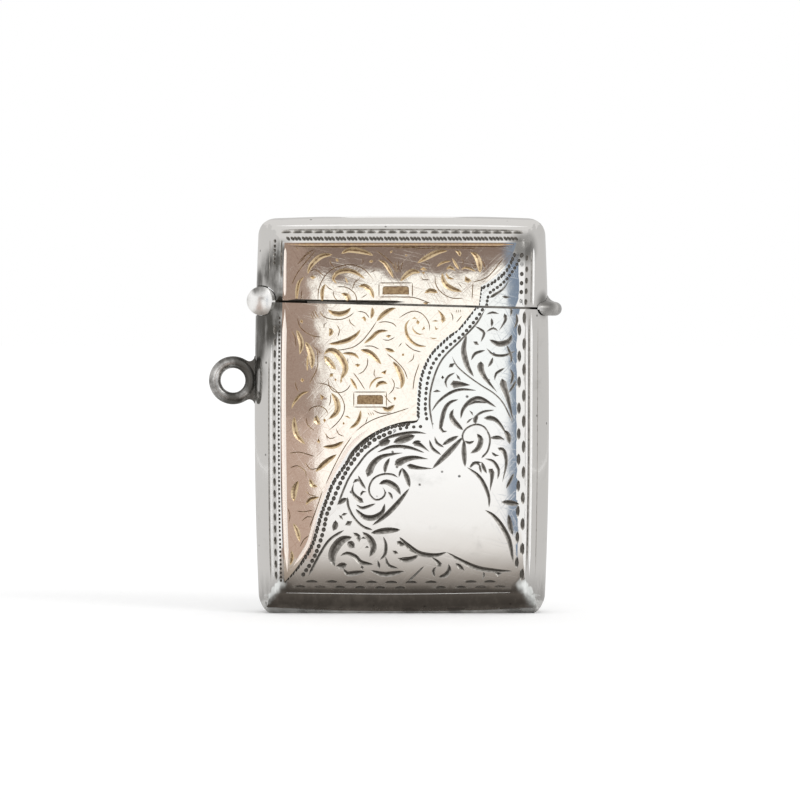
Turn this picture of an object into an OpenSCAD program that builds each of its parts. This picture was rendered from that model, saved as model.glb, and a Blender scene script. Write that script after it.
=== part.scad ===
// Vesta case: a flat pocket match box of silver sheet with a rose gold overlay on its front,
// a lid hinged on the left side, a thumb piece, a soldered suspension ring and a ribbed base.
// Millimetres. Origin in the middle of the base, +Z up, front towards -Y, hinge towards -X.

/* [Case] */
// Height from the base to the top of the lid
case_h = 46; // [43:0.5:52]
// Width over the sides at mid height
case_w = 34.2; // [31:0.2:38]
// Thickness through the middle
case_t = 10; // [9:0.1:12]
// Thickness of the silver sheet
wall = 0.6; // [0.45:0.05:0.8]
// Width of the rounded border around the front and back faces
border_w = 3.2; // [2.6:0.1:3.8]
// Radius of the shallow crown of the front and back faces
crown_r = 600; // [400:10:900]
// How far the left and right sides bow outwards
side_bow = 0.55; // [0.3:0.05:0.9]
// How far the top and bottom bow outwards
end_bow = 0.4; // [0.2:0.05:0.7]
// Radius of the two upper corners seen from the front
top_corner_r = 2.2; // [1.8:0.1:3]
// Radius of the two lower corners seen from the front
low_corner_r = 3.2; // [2.4:0.1:4]

/* [Base] */
// How much of the rounded bottom is cut off to stand on
base_cut = 0.8; // [0.6:0.05:1.2]
// Thickness of the soldered base plate
base_t = 0.7; // [0.5:0.05:1]
// Pitch of the striker ribs
rib_pitch = 0.7; // [0.5:0.05:1]
// Depth of the grooves between the striker ribs
rib_depth = 0.25; // [0.15:0.05:0.35]
// Length of the ribbed field along the base
rib_field = 24; // [16:0.5:25]
// Length of each rib across the base
rib_len = 3.6; // [2.5:0.1:4]

/* [Lid and mouth] */
// Height of the lid above the hinge axis
lid_h = 9.9; // [8.5:0.1:12]
// Slope of the mouth, falling from the hinge to the thumb piece, in degrees
mouth_slope = 1.55; // [0:0.05:3]
// Open line between the lid and the body
lid_gap = 0.26; // [0.14:0.02:0.36]
// Thickness of the collar inside the mouth
collar_t = 0.35; // [0.25:0.05:0.5]
// Clearance between the collar and the inside of the lid
collar_gap = 0.12; // [0.1:0.02:0.2]
// Height of the collar above the mouth
collar_up = 1.8; // [1.2:0.1:2.4]
// Depth of the collar below the mouth
collar_down = 3; // [2:0.1:4]
// Distance from the hinge axis to the ends of the collar
collar_off = 5; // [4:0.1:8]

/* [Hinge] */
// Radius of the hinge barrel
knuckle_r = 1.65; // [1.5:0.05:1.9]
// Distance of the hinge axis inside the left side
hinge_in = 0.86; // [0.6:0.05:1.2]
// Length of the barrel without its end caps
barrel_len = 7; // [6:0.1:7.6]
// Length of the middle knuckle, which belongs to the lid
lid_knuckle_len = 2.4; // [2:0.1:3]
// Gap between neighbouring knuckles
knuckle_gap = 0.06; // [0.04:0.01:0.1]
// Clearance of the sheet around the other side's knuckles
hinge_clear = 0.15; // [0.12:0.01:0.25]
// Radius of the hinge pin
pin_r = 0.5; // [0.4:0.05:0.6]
// Radial clearance of the pin in the knuckles
pin_clear = 0.03; // [0.02:0.01:0.06]
// Thickness of the domed end caps at their rim
cap_t = 0.15; // [0.1:0.05:0.3]
// Rise of the dome of the end caps
cap_dome = 0.35; // [0.2:0.05:0.6]
// Thickness of the hinge leaves inside the walls
leaf_t = 0.5; // [0.35:0.05:0.6]
// Width of the hinge leaves
leaf_w = 6; // [5:0.1:6.6]
// Reach of the hinge leaves above and below the axis
leaf_reach = 4.5; // [3.5:0.1:5.5]
// Angle at which the second flat of the lid knuckle meets the spring
open_angle = 110; // [95:1:115]

/* [Lid spring] */
// Thickness of the steel blade
spring_t = 0.24; // [0.18:0.02:0.3]
// Width of the steel blade
spring_w = 2; // [1.6:0.1:2.2]
// Distance of the lid knuckle's flats from the hinge axis
flat_d = 1.35; // [1.25:0.05:1.45]
// Reach of the blade below the hinge axis
spring_down = 11.5; // [10.5:0.1:13]
// Length of the riveted foot of the blade
spring_foot = 3.6; // [3:0.1:4]
// Reach of the blade's straight tip above the hinge axis
spring_up = 1; // [0.8:0.1:1.4]
// How far the end of the tip is bent away
spring_lead = 0.4; // [0.2:0.05:0.6]
// Radius of the two rivets
rivet_r = 0.3; // [0.25:0.05:0.4]
// Radius of the rivet heads
rivet_head_r = 0.6; // [0.5:0.05:0.8]
// Height of the rivet heads
rivet_head_h = 0.3; // [0.2:0.05:0.4]
// Distance between the two rivets
rivet_pitch = 1.6; // [1.5:0.05:2]

/* [Gold panel] */
// Thickness of the gold overlay
gold_t = 0.3; // [0.2:0.05:0.4]
// Margin of the overlay inside the rounded border
gold_margin = 0; // [0:0.05:0.5]

/* [Thumb piece] */
// Reach of the thumb piece beyond the side of the lid
thumb_out = 1.65; // [1.3:0.05:2]
// Width of the thumb piece through the thickness of the case
thumb_w = 6; // [4.5:0.1:7]
// Radius of its rounded lip
thumb_lip_r = 0.8; // [0.6:0.05:1]
// Height of its hollow fillet above the mouth
thumb_fillet_h = 2; // [1.6:0.1:2.6]
// Clearance of the lip from the side of the body
thumb_clear = 0.16; // [0.12:0.01:0.25]

/* [Suspension ring] */
// Height of the ring's middle above the base
ring_z = 26.9; // [18:0.1:28]
// Radius of the ring's wire
ring_wire_r = 0.7; // [0.5:0.05:0.9]
// Radius of the hole through the ring
ring_hole_r = 1.43; // [1.2:0.05:1.8]
// How deep the hole's wall is worn flat into the wire
ring_wear = 0.03; // [0.02:0.01:0.08]
// How deep the wire sinks into the line of the side
ring_sink = 0.3; // [0.2:0.05:0.5]
// Thickness of the solder web between the ring and the side of the case
ring_web_t = 1; // [0.7:0.05:1.2]
// Radius of the hollow fillets at the top and bottom of the web
ring_web_fillet = 0.6; // [0.4:0.05:0.8]

/* [Fit] */
// Film of solder between pieces that are joined for good
solder = 0.03; // [0.02:0.01:0.05]

/* [Hidden] */
$fn = 96;
// Facets of the large bow and crown arcs
arc_fn = 256;
// Half size of the blocks that stand for half spaces
far = 60;
// Overlap that lets a cut or a fused shape run past a face
over = 1;

silver = "#c9c9c6";
gold = "#d8a684";
steel = "#7d828a";

mid_z = case_h / 2;
half_w = case_w / 2;
half_t = case_t / 2;

// Radius of an edge that rounds off the face at border_w from the rim, where the face has dropped
// by its crown at the distance d from the middle
function face_y(d) = half_t - d * d / (2 * crown_r);
function edge_r(d) = (pow(face_y(d), 2) + border_w * border_w) / (2 * border_w);
side_r = edge_r(half_w - border_w);
end_r = edge_r(mid_z - border_w);
side_bow_r = (mid_z * mid_z + side_bow * side_bow) / (2 * side_bow);
end_bow_r = (half_w * half_w + end_bow * end_bow) / (2 * end_bow);
// How far the side lies inside its widest line at the height z
function side_in(z) = side_bow_r - sqrt(side_bow_r * side_bow_r - pow(z - mid_z, 2));

// Corners of the front outline before they are rounded
corner_x = half_w - side_bow;
corner_top = case_h - end_bow;
corner_low = end_bow - base_cut;
// Angle at which a corner's arc runs into the straight stretches
corner_break = 18;

hinge_x = hinge_in - half_w;
hinge_z = case_h - lid_h;
knuckle_end = lid_knuckle_len / 2 + knuckle_gap;

// Layers of sheet counted inwards from the outside of the case
leaf_inset = wall + solder + leaf_t;
collar_inset = wall + collar_gap + collar_t;
collar_start = hinge_x + collar_off;
rib_count = floor(rib_field / rib_pitch);

ring_r = ring_hole_r - ring_wear + ring_wire_r;
ring_x = ring_sink - half_w - ring_r - ring_wire_r;

// Inner face of a layer on the left side, at the distance y from the middle plane
function left_face(inset, y, z) =
  side_in(z) - half_w + side_r - sqrt(pow(side_r - inset, 2) - y * y);
foot_top_z = hinge_z - spring_down + spring_foot;
spring_foot_x = left_face(leaf_inset, spring_w / 2, foot_top_z) + solder;
spring_tip_x = hinge_x + flat_d + solder;

// Solid block between two corners
module block(a, b) {
  translate(a) cube(b - a);
}

// Everything between two heights measured from the mouth
module mouth_slab(low, high) {
  translate([hinge_x, 0, hinge_z]) rotate([0, mouth_slope, 0])
    block([-far, -far, low], [far, far, high]);
}

module hinge_rod(r, from, to) {
  translate([hinge_x, to, hinge_z]) rotate([90, 0, 0]) cylinder(r = r, h = to - from);
}

module body_side() {
  mouth_slab(-2 * far, -lid_gap / 2);
}

module lid_side() {
  mouth_slab(lid_gap / 2, far);
}

// Large disc with a rounded rim: the rim lies at the origin and the middle at x = -bow_r
module rim_disc(bow_r, rim_r, inset) {
  core_in = border_w + (rim_r - border_w) / 4;
  translate([-bow_r, 0, 0]) rotate([90, 0, 0]) rotate_extrude($fn = arc_fn) {
    translate([bow_r - rim_r, 0]) circle(rim_r - inset);
    translate([0, -case_t]) square([bow_r - core_in, 2 * case_t]);
  }
}

// Ball whose skin is the crown of the front (side = -1) or back (side = 1) face
module crown(side, inset) {
  translate([0, side * (half_t - crown_r), mid_z]) sphere(crown_r - inset, $fn = arc_fn);
}

// What lies outside the rounded corner in the quadrant +x +z of the corner point
module corner_cut(r, inset) {
  reach = r * cos(corner_break);
  rotate([90, 0, 0]) linear_extrude(4 * case_t, center = true) translate([-reach, -reach])
    difference() {
      square(r + 2 * over);
      circle(r - inset);
    }
}

// The cushion shape of the case, with every face moved inwards by inset
module cushion(inset) {
  difference() {
    intersection() {
      translate([half_w, 0, mid_z]) rim_disc(side_bow_r, side_r, inset);
      translate([-half_w, 0, mid_z]) mirror([1, 0, 0]) rim_disc(side_bow_r, side_r, inset);
      translate([0, 0, case_h]) rotate([0, -90, 0]) rim_disc(end_bow_r, end_r, inset);
      translate([0, 0, -base_cut]) rotate([0, 90, 0]) rim_disc(end_bow_r, end_r, inset);
      crown(-1, inset);
      crown(1, inset);
    }
    for (side = [0, 1]) mirror([side, 0, 0]) {
      translate([corner_x, 0, corner_top]) corner_cut(top_corner_r, inset);
      translate([corner_x, 0, corner_low]) mirror([0, 0, 1]) corner_cut(low_corner_r, inset);
    }
  }
}

// Half of the sheet cushion on the front (side = -1) or back (side = 1), above the base plate
module half_cushion(side) {
  difference() {
    intersection() {
      cushion(0);
      block([-far, side < 0 ? -far : 0, base_t], [far, side < 0 ? 0 : far, 2 * far]);
    }
    cushion(wall);
  }
}

// Room for the hinge barrel in the body's sheet
module body_barrel_room() {
  hinge_rod(knuckle_r + solder, -case_t, case_t);
  hinge_rod(knuckle_r + hinge_clear, -knuckle_end, knuckle_end);
}

// Room for the hinge barrel in the lid's sheet
module lid_barrel_room() {
  hinge_rod(knuckle_r + solder, -case_t, case_t);
  hinge_rod(knuckle_r + hinge_clear, lid_knuckle_len / 2, case_t);
  hinge_rod(knuckle_r + hinge_clear, -case_t, -lid_knuckle_len / 2);
}

module body_shell(side) {
  difference() {
    intersection() {
      half_cushion(side);
      body_side();
    }
    body_barrel_room();
  }
}

module lid_shell(side) {
  difference() {
    intersection() {
      half_cushion(side);
      lid_side();
    }
    lid_barrel_room();
  }
}

module front_shell() {
  color(silver) body_shell(-1);
}

module back_shell() {
  color(silver) body_shell(1);
}

module lid_front_shell() {
  color(silver) lid_shell(-1);
}

module lid_back_shell() {
  color(silver) lid_shell(1);
}

// Flat plate that closes the bottom, with the striker's grooves across it
module base_plate() {
  color(silver) difference() {
    intersection() {
      cushion(0);
      block([-far, -far, 0], [far, far, base_t]);
    }
    for (i = [0:rib_count - 1])
      translate([(i - (rib_count - 1) / 2) * rib_pitch, 0, 0]) rotate([0, 45, 0])
        cube([rib_depth * sqrt(2), rib_len, rib_depth * sqrt(2)], center = true);
  }
}

// The overlay's outline. Its points are shares of the face, across from the left and down from
// the top, and each lobe is an arc given by the rise of its bow over its chord.
face_w = case_w - 2 * (border_w + gold_margin);
face_h = case_h - 2 * (border_w + gold_margin) + base_cut;
face_left = -face_w / 2;
face_top = case_h - border_w - gold_margin;
function face_point(u, v) = [face_left + u * face_w, face_top - v * face_h];
lid_lobe_a = face_point(0.974, 0);
lid_lobe_b = face_point(0.827, 0.122);
lid_cusp = face_point(0.818, 0.183);
mouth_cusp = face_point(0.803, 0.186);
upper_lobe_a = face_point(0.73, 0.249);
upper_lobe_b = face_point(0.562, 0.445);
middle_cusp = face_point(0.56, 0.506);
lower_lobe_a = face_point(0.532, 0.507);
lower_lobe_b = face_point(0.278, 0.597);
lower_lobe_c = face_point(0.122, 0.852);
tail_z = face_point(0, 0.966)[1];
tail_tip = [face_left + side_in(tail_z), tail_z];
lid_lobe_bow = 0.115;
upper_lobe_bow = 0.145;
lower_lobe_bow = 0.087;
lower_flank_bow = 0.046;
tail_bow = 0.055;

// Points of the arc from p to short of q, bowed to the left (side = 1) or right (side = -1) of
// the way there
lobe_steps = 16;
function lobe(p, q, bow, side) =
  let (d = q - p, c = norm(d), r = c * (1 / (8 * bow) + bow / 2),
    middle = (p + q) / 2 - side * (r - bow * c) * [-d[1], d[0]] / c, half = asin(c / (2 * r)),
    start = atan2(p[1] - middle[1], p[0] - middle[0]))
  [for (i = [0:lobe_steps - 1])
    let (angle = start - side * 2 * half * i / lobe_steps)
    middle + r * [cos(angle), sin(angle)]];

// Points of the left edge down to the tail, at an even distance from the bowed side of the case
function left_edge() =
  [for (i = [0:lobe_steps - 1])
    let (z = face_top + (tail_z - face_top) * i / lobe_steps) [face_left + side_in(z), z]];

module gold_outline() {
  polygon(concat(
    left_edge(),
    lobe(tail_tip, lower_lobe_c, tail_bow, -1),
    lobe(lower_lobe_c, lower_lobe_b, lower_flank_bow, 1),
    lobe(lower_lobe_b, lower_lobe_a, lower_lobe_bow, 1),
    [lower_lobe_a, middle_cusp],
    lobe(upper_lobe_b, upper_lobe_a, upper_lobe_bow, 1),
    [upper_lobe_a, mouth_cusp, lid_cusp],
    lobe(lid_lobe_b, lid_lobe_a, lid_lobe_bow, -1),
    [lid_lobe_a]));
}

// Round sheet on the front, between two distances from the crown of the silver face
module crown_sheet(low, high) {
  translate([0, crown_r - half_t, mid_z]) rotate([90, 0, 0]) rotate_extrude($fn = arc_fn)
    intersection() {
      difference() {
        circle(crown_r + high, $fn = arc_fn);
        circle(crown_r + low, $fn = arc_fn);
      }
      translate([0, crown_r - case_t]) square([case_h, 2 * case_t]);
    }
}

// Gold overlay of the whole front, before it is parted at the mouth
module gold_sheet() {
  intersection() {
    crown_sheet(solder, solder + gold_t);
    rotate([90, 0, 0]) linear_extrude(2 * case_t) gold_outline();
  }
}

module front_gold_panel() {
  color(gold) intersection() {
    gold_sheet();
    body_side();
  }
}

module lid_gold_panel() {
  color(gold) intersection() {
    gold_sheet();
    lid_side();
  }
}

// Three-sided collar soldered inside the mouth, over which the lid closes
module mouth_collar() {
  color(silver) difference() {
    intersection() {
      union() {
        intersection() {
          cushion(wall + solder);
          mouth_slab(-collar_down, -lid_gap);
        }
        intersection() {
          cushion(wall + collar_gap);
          mouth_slab(-collar_down, collar_up);
        }
      }
      block([collar_start, -far, 0], [far, far, 2 * far]);
    }
    cushion(collar_inset);
  }
}

// Layer of sheet that lines the inside of the left wall
module leaf_sheet(low, high, width) {
  leaf_right = hinge_x + knuckle_r + leaf_t;
  difference() {
    intersection() {
      cushion(wall + solder);
      block([-far, -width / 2, hinge_z + low], [leaf_right, width / 2, hinge_z + high]);
    }
    cushion(leaf_inset);
  }
}

module pin_bore() {
  hinge_rod(pin_r + pin_clear, -case_t, case_t);
}

module rivet_places() {
  for (side = [-1, 1])
    translate([spring_foot_x, 0, foot_top_z - spring_foot / 2 + side * rivet_pitch / 2])
      rotate([0, 90, 0]) children();
}

// Two outer knuckles on a leaf inside the body's left wall, with a tongue for the spring
module body_hinge_leaf() {
  leaf_top = -pin_r;
  color(silver) difference() {
    union() {
      difference() {
        union() {
          leaf_sheet(-leaf_reach, leaf_top, leaf_w);
          leaf_sheet(-spring_down, leaf_top, lid_knuckle_len);
        }
        hinge_rod(knuckle_r + hinge_clear, -knuckle_end, knuckle_end);
      }
      hinge_rod(knuckle_r, knuckle_end, barrel_len / 2);
      hinge_rod(knuckle_r, -barrel_len / 2, -knuckle_end);
    }
    pin_bore();
    rivet_places() cylinder(r = rivet_r + solder, h = 4 * wall, center = true);
  }
}

// Middle knuckle of the barrel, filed flat where the spring meets it shut and open
module cam_knuckle() {
  difference() {
    hinge_rod(knuckle_r, -lid_knuckle_len / 2, lid_knuckle_len / 2);
    for (angle = [0, open_angle])
      translate([hinge_x, 0, hinge_z]) rotate([0, angle, 0])
        block([flat_d, -case_t, -2 * knuckle_r], [2 * knuckle_r, case_t, 2 * knuckle_r]);
  }
}

// Cam knuckle on a leaf inside the lid's left wall
module lid_hinge_leaf() {
  color(silver) difference() {
    union() {
      leaf_sheet(knuckle_r + hinge_clear, leaf_reach, leaf_w);
      leaf_sheet(pin_r, leaf_reach, lid_knuckle_len);
      cam_knuckle();
    }
    pin_bore();
  }
}

module hinge_pin() {
  color(steel) hinge_rod(pin_r, -barrel_len / 2, barrel_len / 2);
}

// Domed plugs that close both ends of the barrel
module hinge_end_caps() {
  dome_r = (knuckle_r * knuckle_r + cap_dome * cap_dome) / (2 * cap_dome);
  cap_end = barrel_len / 2 + cap_t + cap_dome;
  color(silver) for (side = [0, 1]) mirror([0, side, 0]) intersection() {
    hinge_rod(knuckle_r, barrel_len / 2, cap_end + over);
    translate([hinge_x, cap_end - dome_r, hinge_z]) sphere(dome_r);
  }
}

// Bent steel blade that presses on the flats of the lid knuckle
module lid_spring() {
  foot_low = hinge_z - spring_down;
  bend_z = hinge_z - leaf_reach;
  tip_z = hinge_z + spring_up;
  path = [[spring_foot_x, foot_low], [spring_foot_x, foot_top_z], [spring_tip_x, bend_z],
    [spring_tip_x, tip_z], [spring_tip_x + spring_lead, tip_z + 2 * spring_lead]];
  last = len(path) - 1;
  color(steel) difference() {
    rotate([90, 0, 0]) linear_extrude(spring_w, center = true)
      polygon(concat(path, [for (i = [last:-1:0]) path[i] + [spring_t, 0]]));
    rivet_places() cylinder(r = rivet_r + solder, h = 4 * wall, center = true);
  }
}

// Two rivets that hold the foot of the blade on the tongue of the body's leaf
module spring_rivets() {
  color(steel) rivet_places() {
    translate([0, 0, -leaf_t]) cylinder(r = rivet_r, h = leaf_t + spring_t + rivet_head_h / 2);
    translate([0, 0, spring_t + solder]) cylinder(r = rivet_head_r, h = rivet_head_h);
  }
}

// Web that runs from the ring into the side of the case, with a hollow fillet above and below
// that touches the ring's outline and the side. Its origin is the middle of the ring.
module ring_web() {
  outer_r = ring_r + ring_wire_r;
  side_x = outer_r - ring_sink;
  fillet_x = side_x - ring_web_fillet;
  fillet_d = outer_r + ring_web_fillet;
  fillet_z = sqrt(fillet_d * fillet_d - fillet_x * fillet_x);
  start_x = fillet_x * outer_r / fillet_d;
  linear_extrude(ring_web_t, center = true) difference() {
    translate([start_x, -fillet_z]) square([side_x + over - start_x, 2 * fillet_z]);
    for (side = [-1, 1]) translate([fillet_x, side * fillet_z]) circle(ring_web_fillet);
  }
}

// Wire ring that is soldered on the left side by a web
module suspension_ring() {
  color(silver) difference() {
    translate([ring_x, 0, ring_z]) rotate([90, 0, 0]) {
      rotate_extrude() translate([ring_r, 0]) circle(ring_wire_r);
      ring_web();
    }
    cushion(-solder);
    translate([ring_x, 0, ring_z]) rotate([90, 0, 0])
      cylinder(r = ring_hole_r, h = 4 * ring_wire_r, center = true);
  }
}

// The rounded right edge of the case beside the mouth, grown by a clearance
module right_edge(clear) {
  slope = asin((hinge_z - mid_z) / side_bow_r);
  translate([half_w - side_in(hinge_z), 0, hinge_z]) rotate([0, -slope, 0])
    translate([-side_r, 0, -case_t]) cylinder(r = side_r + clear, h = 2 * case_t);
}

// Rounded tab on the right side of the lid, with a hollow fillet above and a lip over the mouth
module thumb_piece() {
  mouth_x = half_w - side_in(hinge_z);
  mouth_z = hinge_z - (mouth_x - hinge_x) * tan(mouth_slope);
  plan_r = (thumb_w * thumb_w / 4 + thumb_out * thumb_out) / (2 * thumb_out);
  lip_x = plan_r - thumb_lip_r;
  lip_in = thumb_out - thumb_lip_r;
  // Arc that touches the lip and runs out into the wall above it
  fillet_r = (lip_in * lip_in + thumb_fillet_h * thumb_fillet_h - thumb_lip_r * thumb_lip_r)
    / (2 * thumb_out);
  fillet_x = plan_r - thumb_out + fillet_r * cos(corner_break);
  color(silver) difference() {
    translate([mouth_x + thumb_out - plan_r, 0, mouth_z]) rotate_extrude() {
      translate([lip_x, 0]) circle(thumb_lip_r);
      difference() {
        translate([0, -thumb_lip_r / 2]) square([lip_x, thumb_fillet_h + thumb_lip_r / 2]);
        translate([fillet_x, thumb_fillet_h]) circle(fillet_r);
      }
    }
    right_edge(solder);
    intersection() {
      right_edge(thumb_clear);
      body_side();
    }
  }
}

front_shell();
back_shell();
base_plate();
front_gold_panel();
mouth_collar();
body_hinge_leaf();
hinge_pin();
hinge_end_caps();
suspension_ring();
lid_spring();
spring_rivets();
lid_front_shell();
lid_back_shell();
lid_gold_panel();
lid_hinge_leaf();
thumb_piece();
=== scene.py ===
"""Looks of the match case: engraved silver and rose gold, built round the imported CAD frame."""

import math

import bmesh
import bpy
from bpy.props import FloatProperty, FloatVectorProperty, IntProperty, PointerProperty
from mathutils import Matrix, Vector
from mathutils.bvhtree import BVHTree


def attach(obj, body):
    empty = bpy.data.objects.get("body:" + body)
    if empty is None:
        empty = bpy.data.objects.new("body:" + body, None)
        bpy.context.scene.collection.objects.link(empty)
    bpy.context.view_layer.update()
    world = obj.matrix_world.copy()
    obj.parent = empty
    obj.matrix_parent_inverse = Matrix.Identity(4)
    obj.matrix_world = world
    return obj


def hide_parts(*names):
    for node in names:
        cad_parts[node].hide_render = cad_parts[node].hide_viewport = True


bl_info = {
    "name": "Match case",
    "version": (1, 0, 0),
    "blender": (4, 5, 0),
    "location": "View3D > Sidebar > Match case",
    "description": "Engraved silver match case with a rose gold front, on its CAD frame",
    "category": "Object",
}

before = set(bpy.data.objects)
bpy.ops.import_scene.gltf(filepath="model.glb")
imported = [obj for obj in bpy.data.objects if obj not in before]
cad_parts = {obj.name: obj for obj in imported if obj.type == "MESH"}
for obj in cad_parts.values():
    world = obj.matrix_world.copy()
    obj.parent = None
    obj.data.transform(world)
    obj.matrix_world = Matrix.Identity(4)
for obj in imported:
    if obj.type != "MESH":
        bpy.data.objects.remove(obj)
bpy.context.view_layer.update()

MM = 0.001

# How the drawing's pixels lie on the front face: the pixel over the case's middle, the pixel of
# the floor, and the size of one pixel.
MIDDLE_PX = 401.85
FLOOR_PX = 612.6
PX = 0.11616 * MM
VIEW_MIDDLE_PX = 400

# The camera's distance from the face, and the face's distance from the plane of the outline, in
# which a pixel has its full size. On the face it is a little smaller.
VIEW_DISTANCE = 500 * MM
FACE_DEPTH = 5 * MM
FACE_PX = PX * VIEW_DISTANCE / (VIEW_DISTANCE + FACE_DEPTH)

# The crowned front is part of a large ball: its middle in depth and height, and its radius.
CROWN_Y = 595 * MM
CROWN_Z = 23 * MM
CROWN_R = 600 * MM

# The mouth's middle line: its height at the case's middle and its slope.
MOUTH_Z = 35.66 * MM
MOUTH_SLOPE = -0.029

# Painted shade in the mouth's gap beside the hinge, a near black strip: its ends, sections, foot
# and head at the mouth's line, thickness and clearance from the wall.
GAP_SHADE_LEFT = -14.6 * MM
GAP_SHADE_RIGHT = -10.9 * MM
GAP_SHADE_SECTIONS = 14
GAP_SHADE_FOOT = 0.4 * MM
GAP_SHADE_HEAD = 0.11 * MM
GAP_SHADE_THICK = 0.14 * MM
GAP_SHADE_CLEAR = 0.02 * MM

# The shells' border: the distance and number of the planes that slice it, and the reach over
# which its creases are rounded. Where two borders meet, the reach grows by the mitre's reach, over
# the mitre's width.
BORDER_STEP = 0.45 * MM
BORDER_SLICES = 10
BORDER_REACH = 0.7 * MM
MITRE_REACH = 1.2 * MM
MITRE_WIDTH = 2.4 * MM

# Each drawing is an enlarged part of the face: the pixel of its top left corner, how many times
# it is enlarged, and its cuts as (shape, width, x, y, x, y, ...) in the drawing's own units.
# A leaf is widest in its middle, a head at its first point, a tail at its last, a line is even.
# Its thin lines follow as (x, y, x, y, ...).
UPPER_SILVER = dict(corner=(410, 300), zoom=10.45, cuts=[
    ("leaf", 22, 680, 275, 740, 310, 775, 350, 740, 440),
    ("leaf", 18, 800, 330, 870, 295, 920, 325),
    ("leaf", 44, 830, 415, 930, 460, 1030, 430, 1065, 360),
    ("leaf", 22, 800, 505, 870, 570, 980, 580, 1100, 535),
    ("head", 34, 985, 140, 1000, 200, 970, 260, 930, 320),
    ("leaf", 18, 800, 150, 860, 130, 930, 145),
    ("leaf", 22, 850, 190, 858, 235, 850, 280),
    ("leaf", 30, 660, 435, 690, 450, 720, 470),
    ("leaf", 24, 640, 630, 680, 560, 785, 525),
    ("leaf", 24, 865, 600, 850, 650, 815, 700),
    ("line", 12, 440, 590, 490, 690, 600, 790, 740, 890, 880, 980, 980, 1090, 1075, 1290),
    ("leaf", 44, 590, 370, 560, 520, 600, 690, 665, 800),
    ("head", 60, 740, 640, 740, 720, 790, 820, 910, 965),
    ("head", 60, 960, 820, 985, 920, 1020, 1020, 1080, 1270),
    ("leaf", 22, 885, 840, 900, 770, 990, 710),
    ("leaf", 22, 1045, 720, 1075, 790, 1050, 890),
    ("leaf", 20, 1110, 840, 1075, 905, 1030, 970),
    ("head", 46, 405, 705, 430, 685, 470, 660),
    ("leaf", 30, 325, 812, 340, 808, 358, 812),
    ("leaf", 20, 470, 760, 400, 800, 370, 860, 390, 920),
    ("leaf", 20, 485, 775, 505, 810, 530, 840),
    ("head", 68, 420, 885, 520, 880, 630, 890),
    ("leaf", 22, 240, 960, 280, 950, 320, 955),
    ("leaf", 24, 225, 1165, 300, 1060, 420, 970, 540, 935, 690, 945),
    ("leaf", 34, 505, 1040, 420, 1070, 360, 1150, 320, 1340, 345, 1375, 390, 1370),
    ("leaf", 34, 530, 1240, 555, 1140, 640, 1050, 740, 1030, 900, 1120),
    ("leaf", 42, 455, 1140, 430, 1200, 460, 1270, 555, 1360),
    ("leaf", 20, 690, 1290, 690, 1220, 760, 1170, 880, 1150),
    ("leaf", 16, 590, 1290, 625, 1255, 660, 1230),
    ("leaf", 16, 620, 1155, 645, 1180, 660, 1210),
    ("head", 44, 770, 1235, 870, 1240, 950, 1310, 1040, 1463),
    ("line", 12, 830, 1440, 900, 1450, 980, 1450),
    ("leaf", 24, 700, 1400, 720, 1430, 740, 1463),
    ("leaf", 22, 1010, 470, 1060, 600, 1050, 660),
    ("leaf", 20, 1110, 140, 1120, 220, 1090, 300),
    ("leaf", 26, 860, 40, 930, 60, 1000, 50),
    ("leaf", 20, 1030, 60, 1060, 110, 1050, 170),
])
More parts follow.
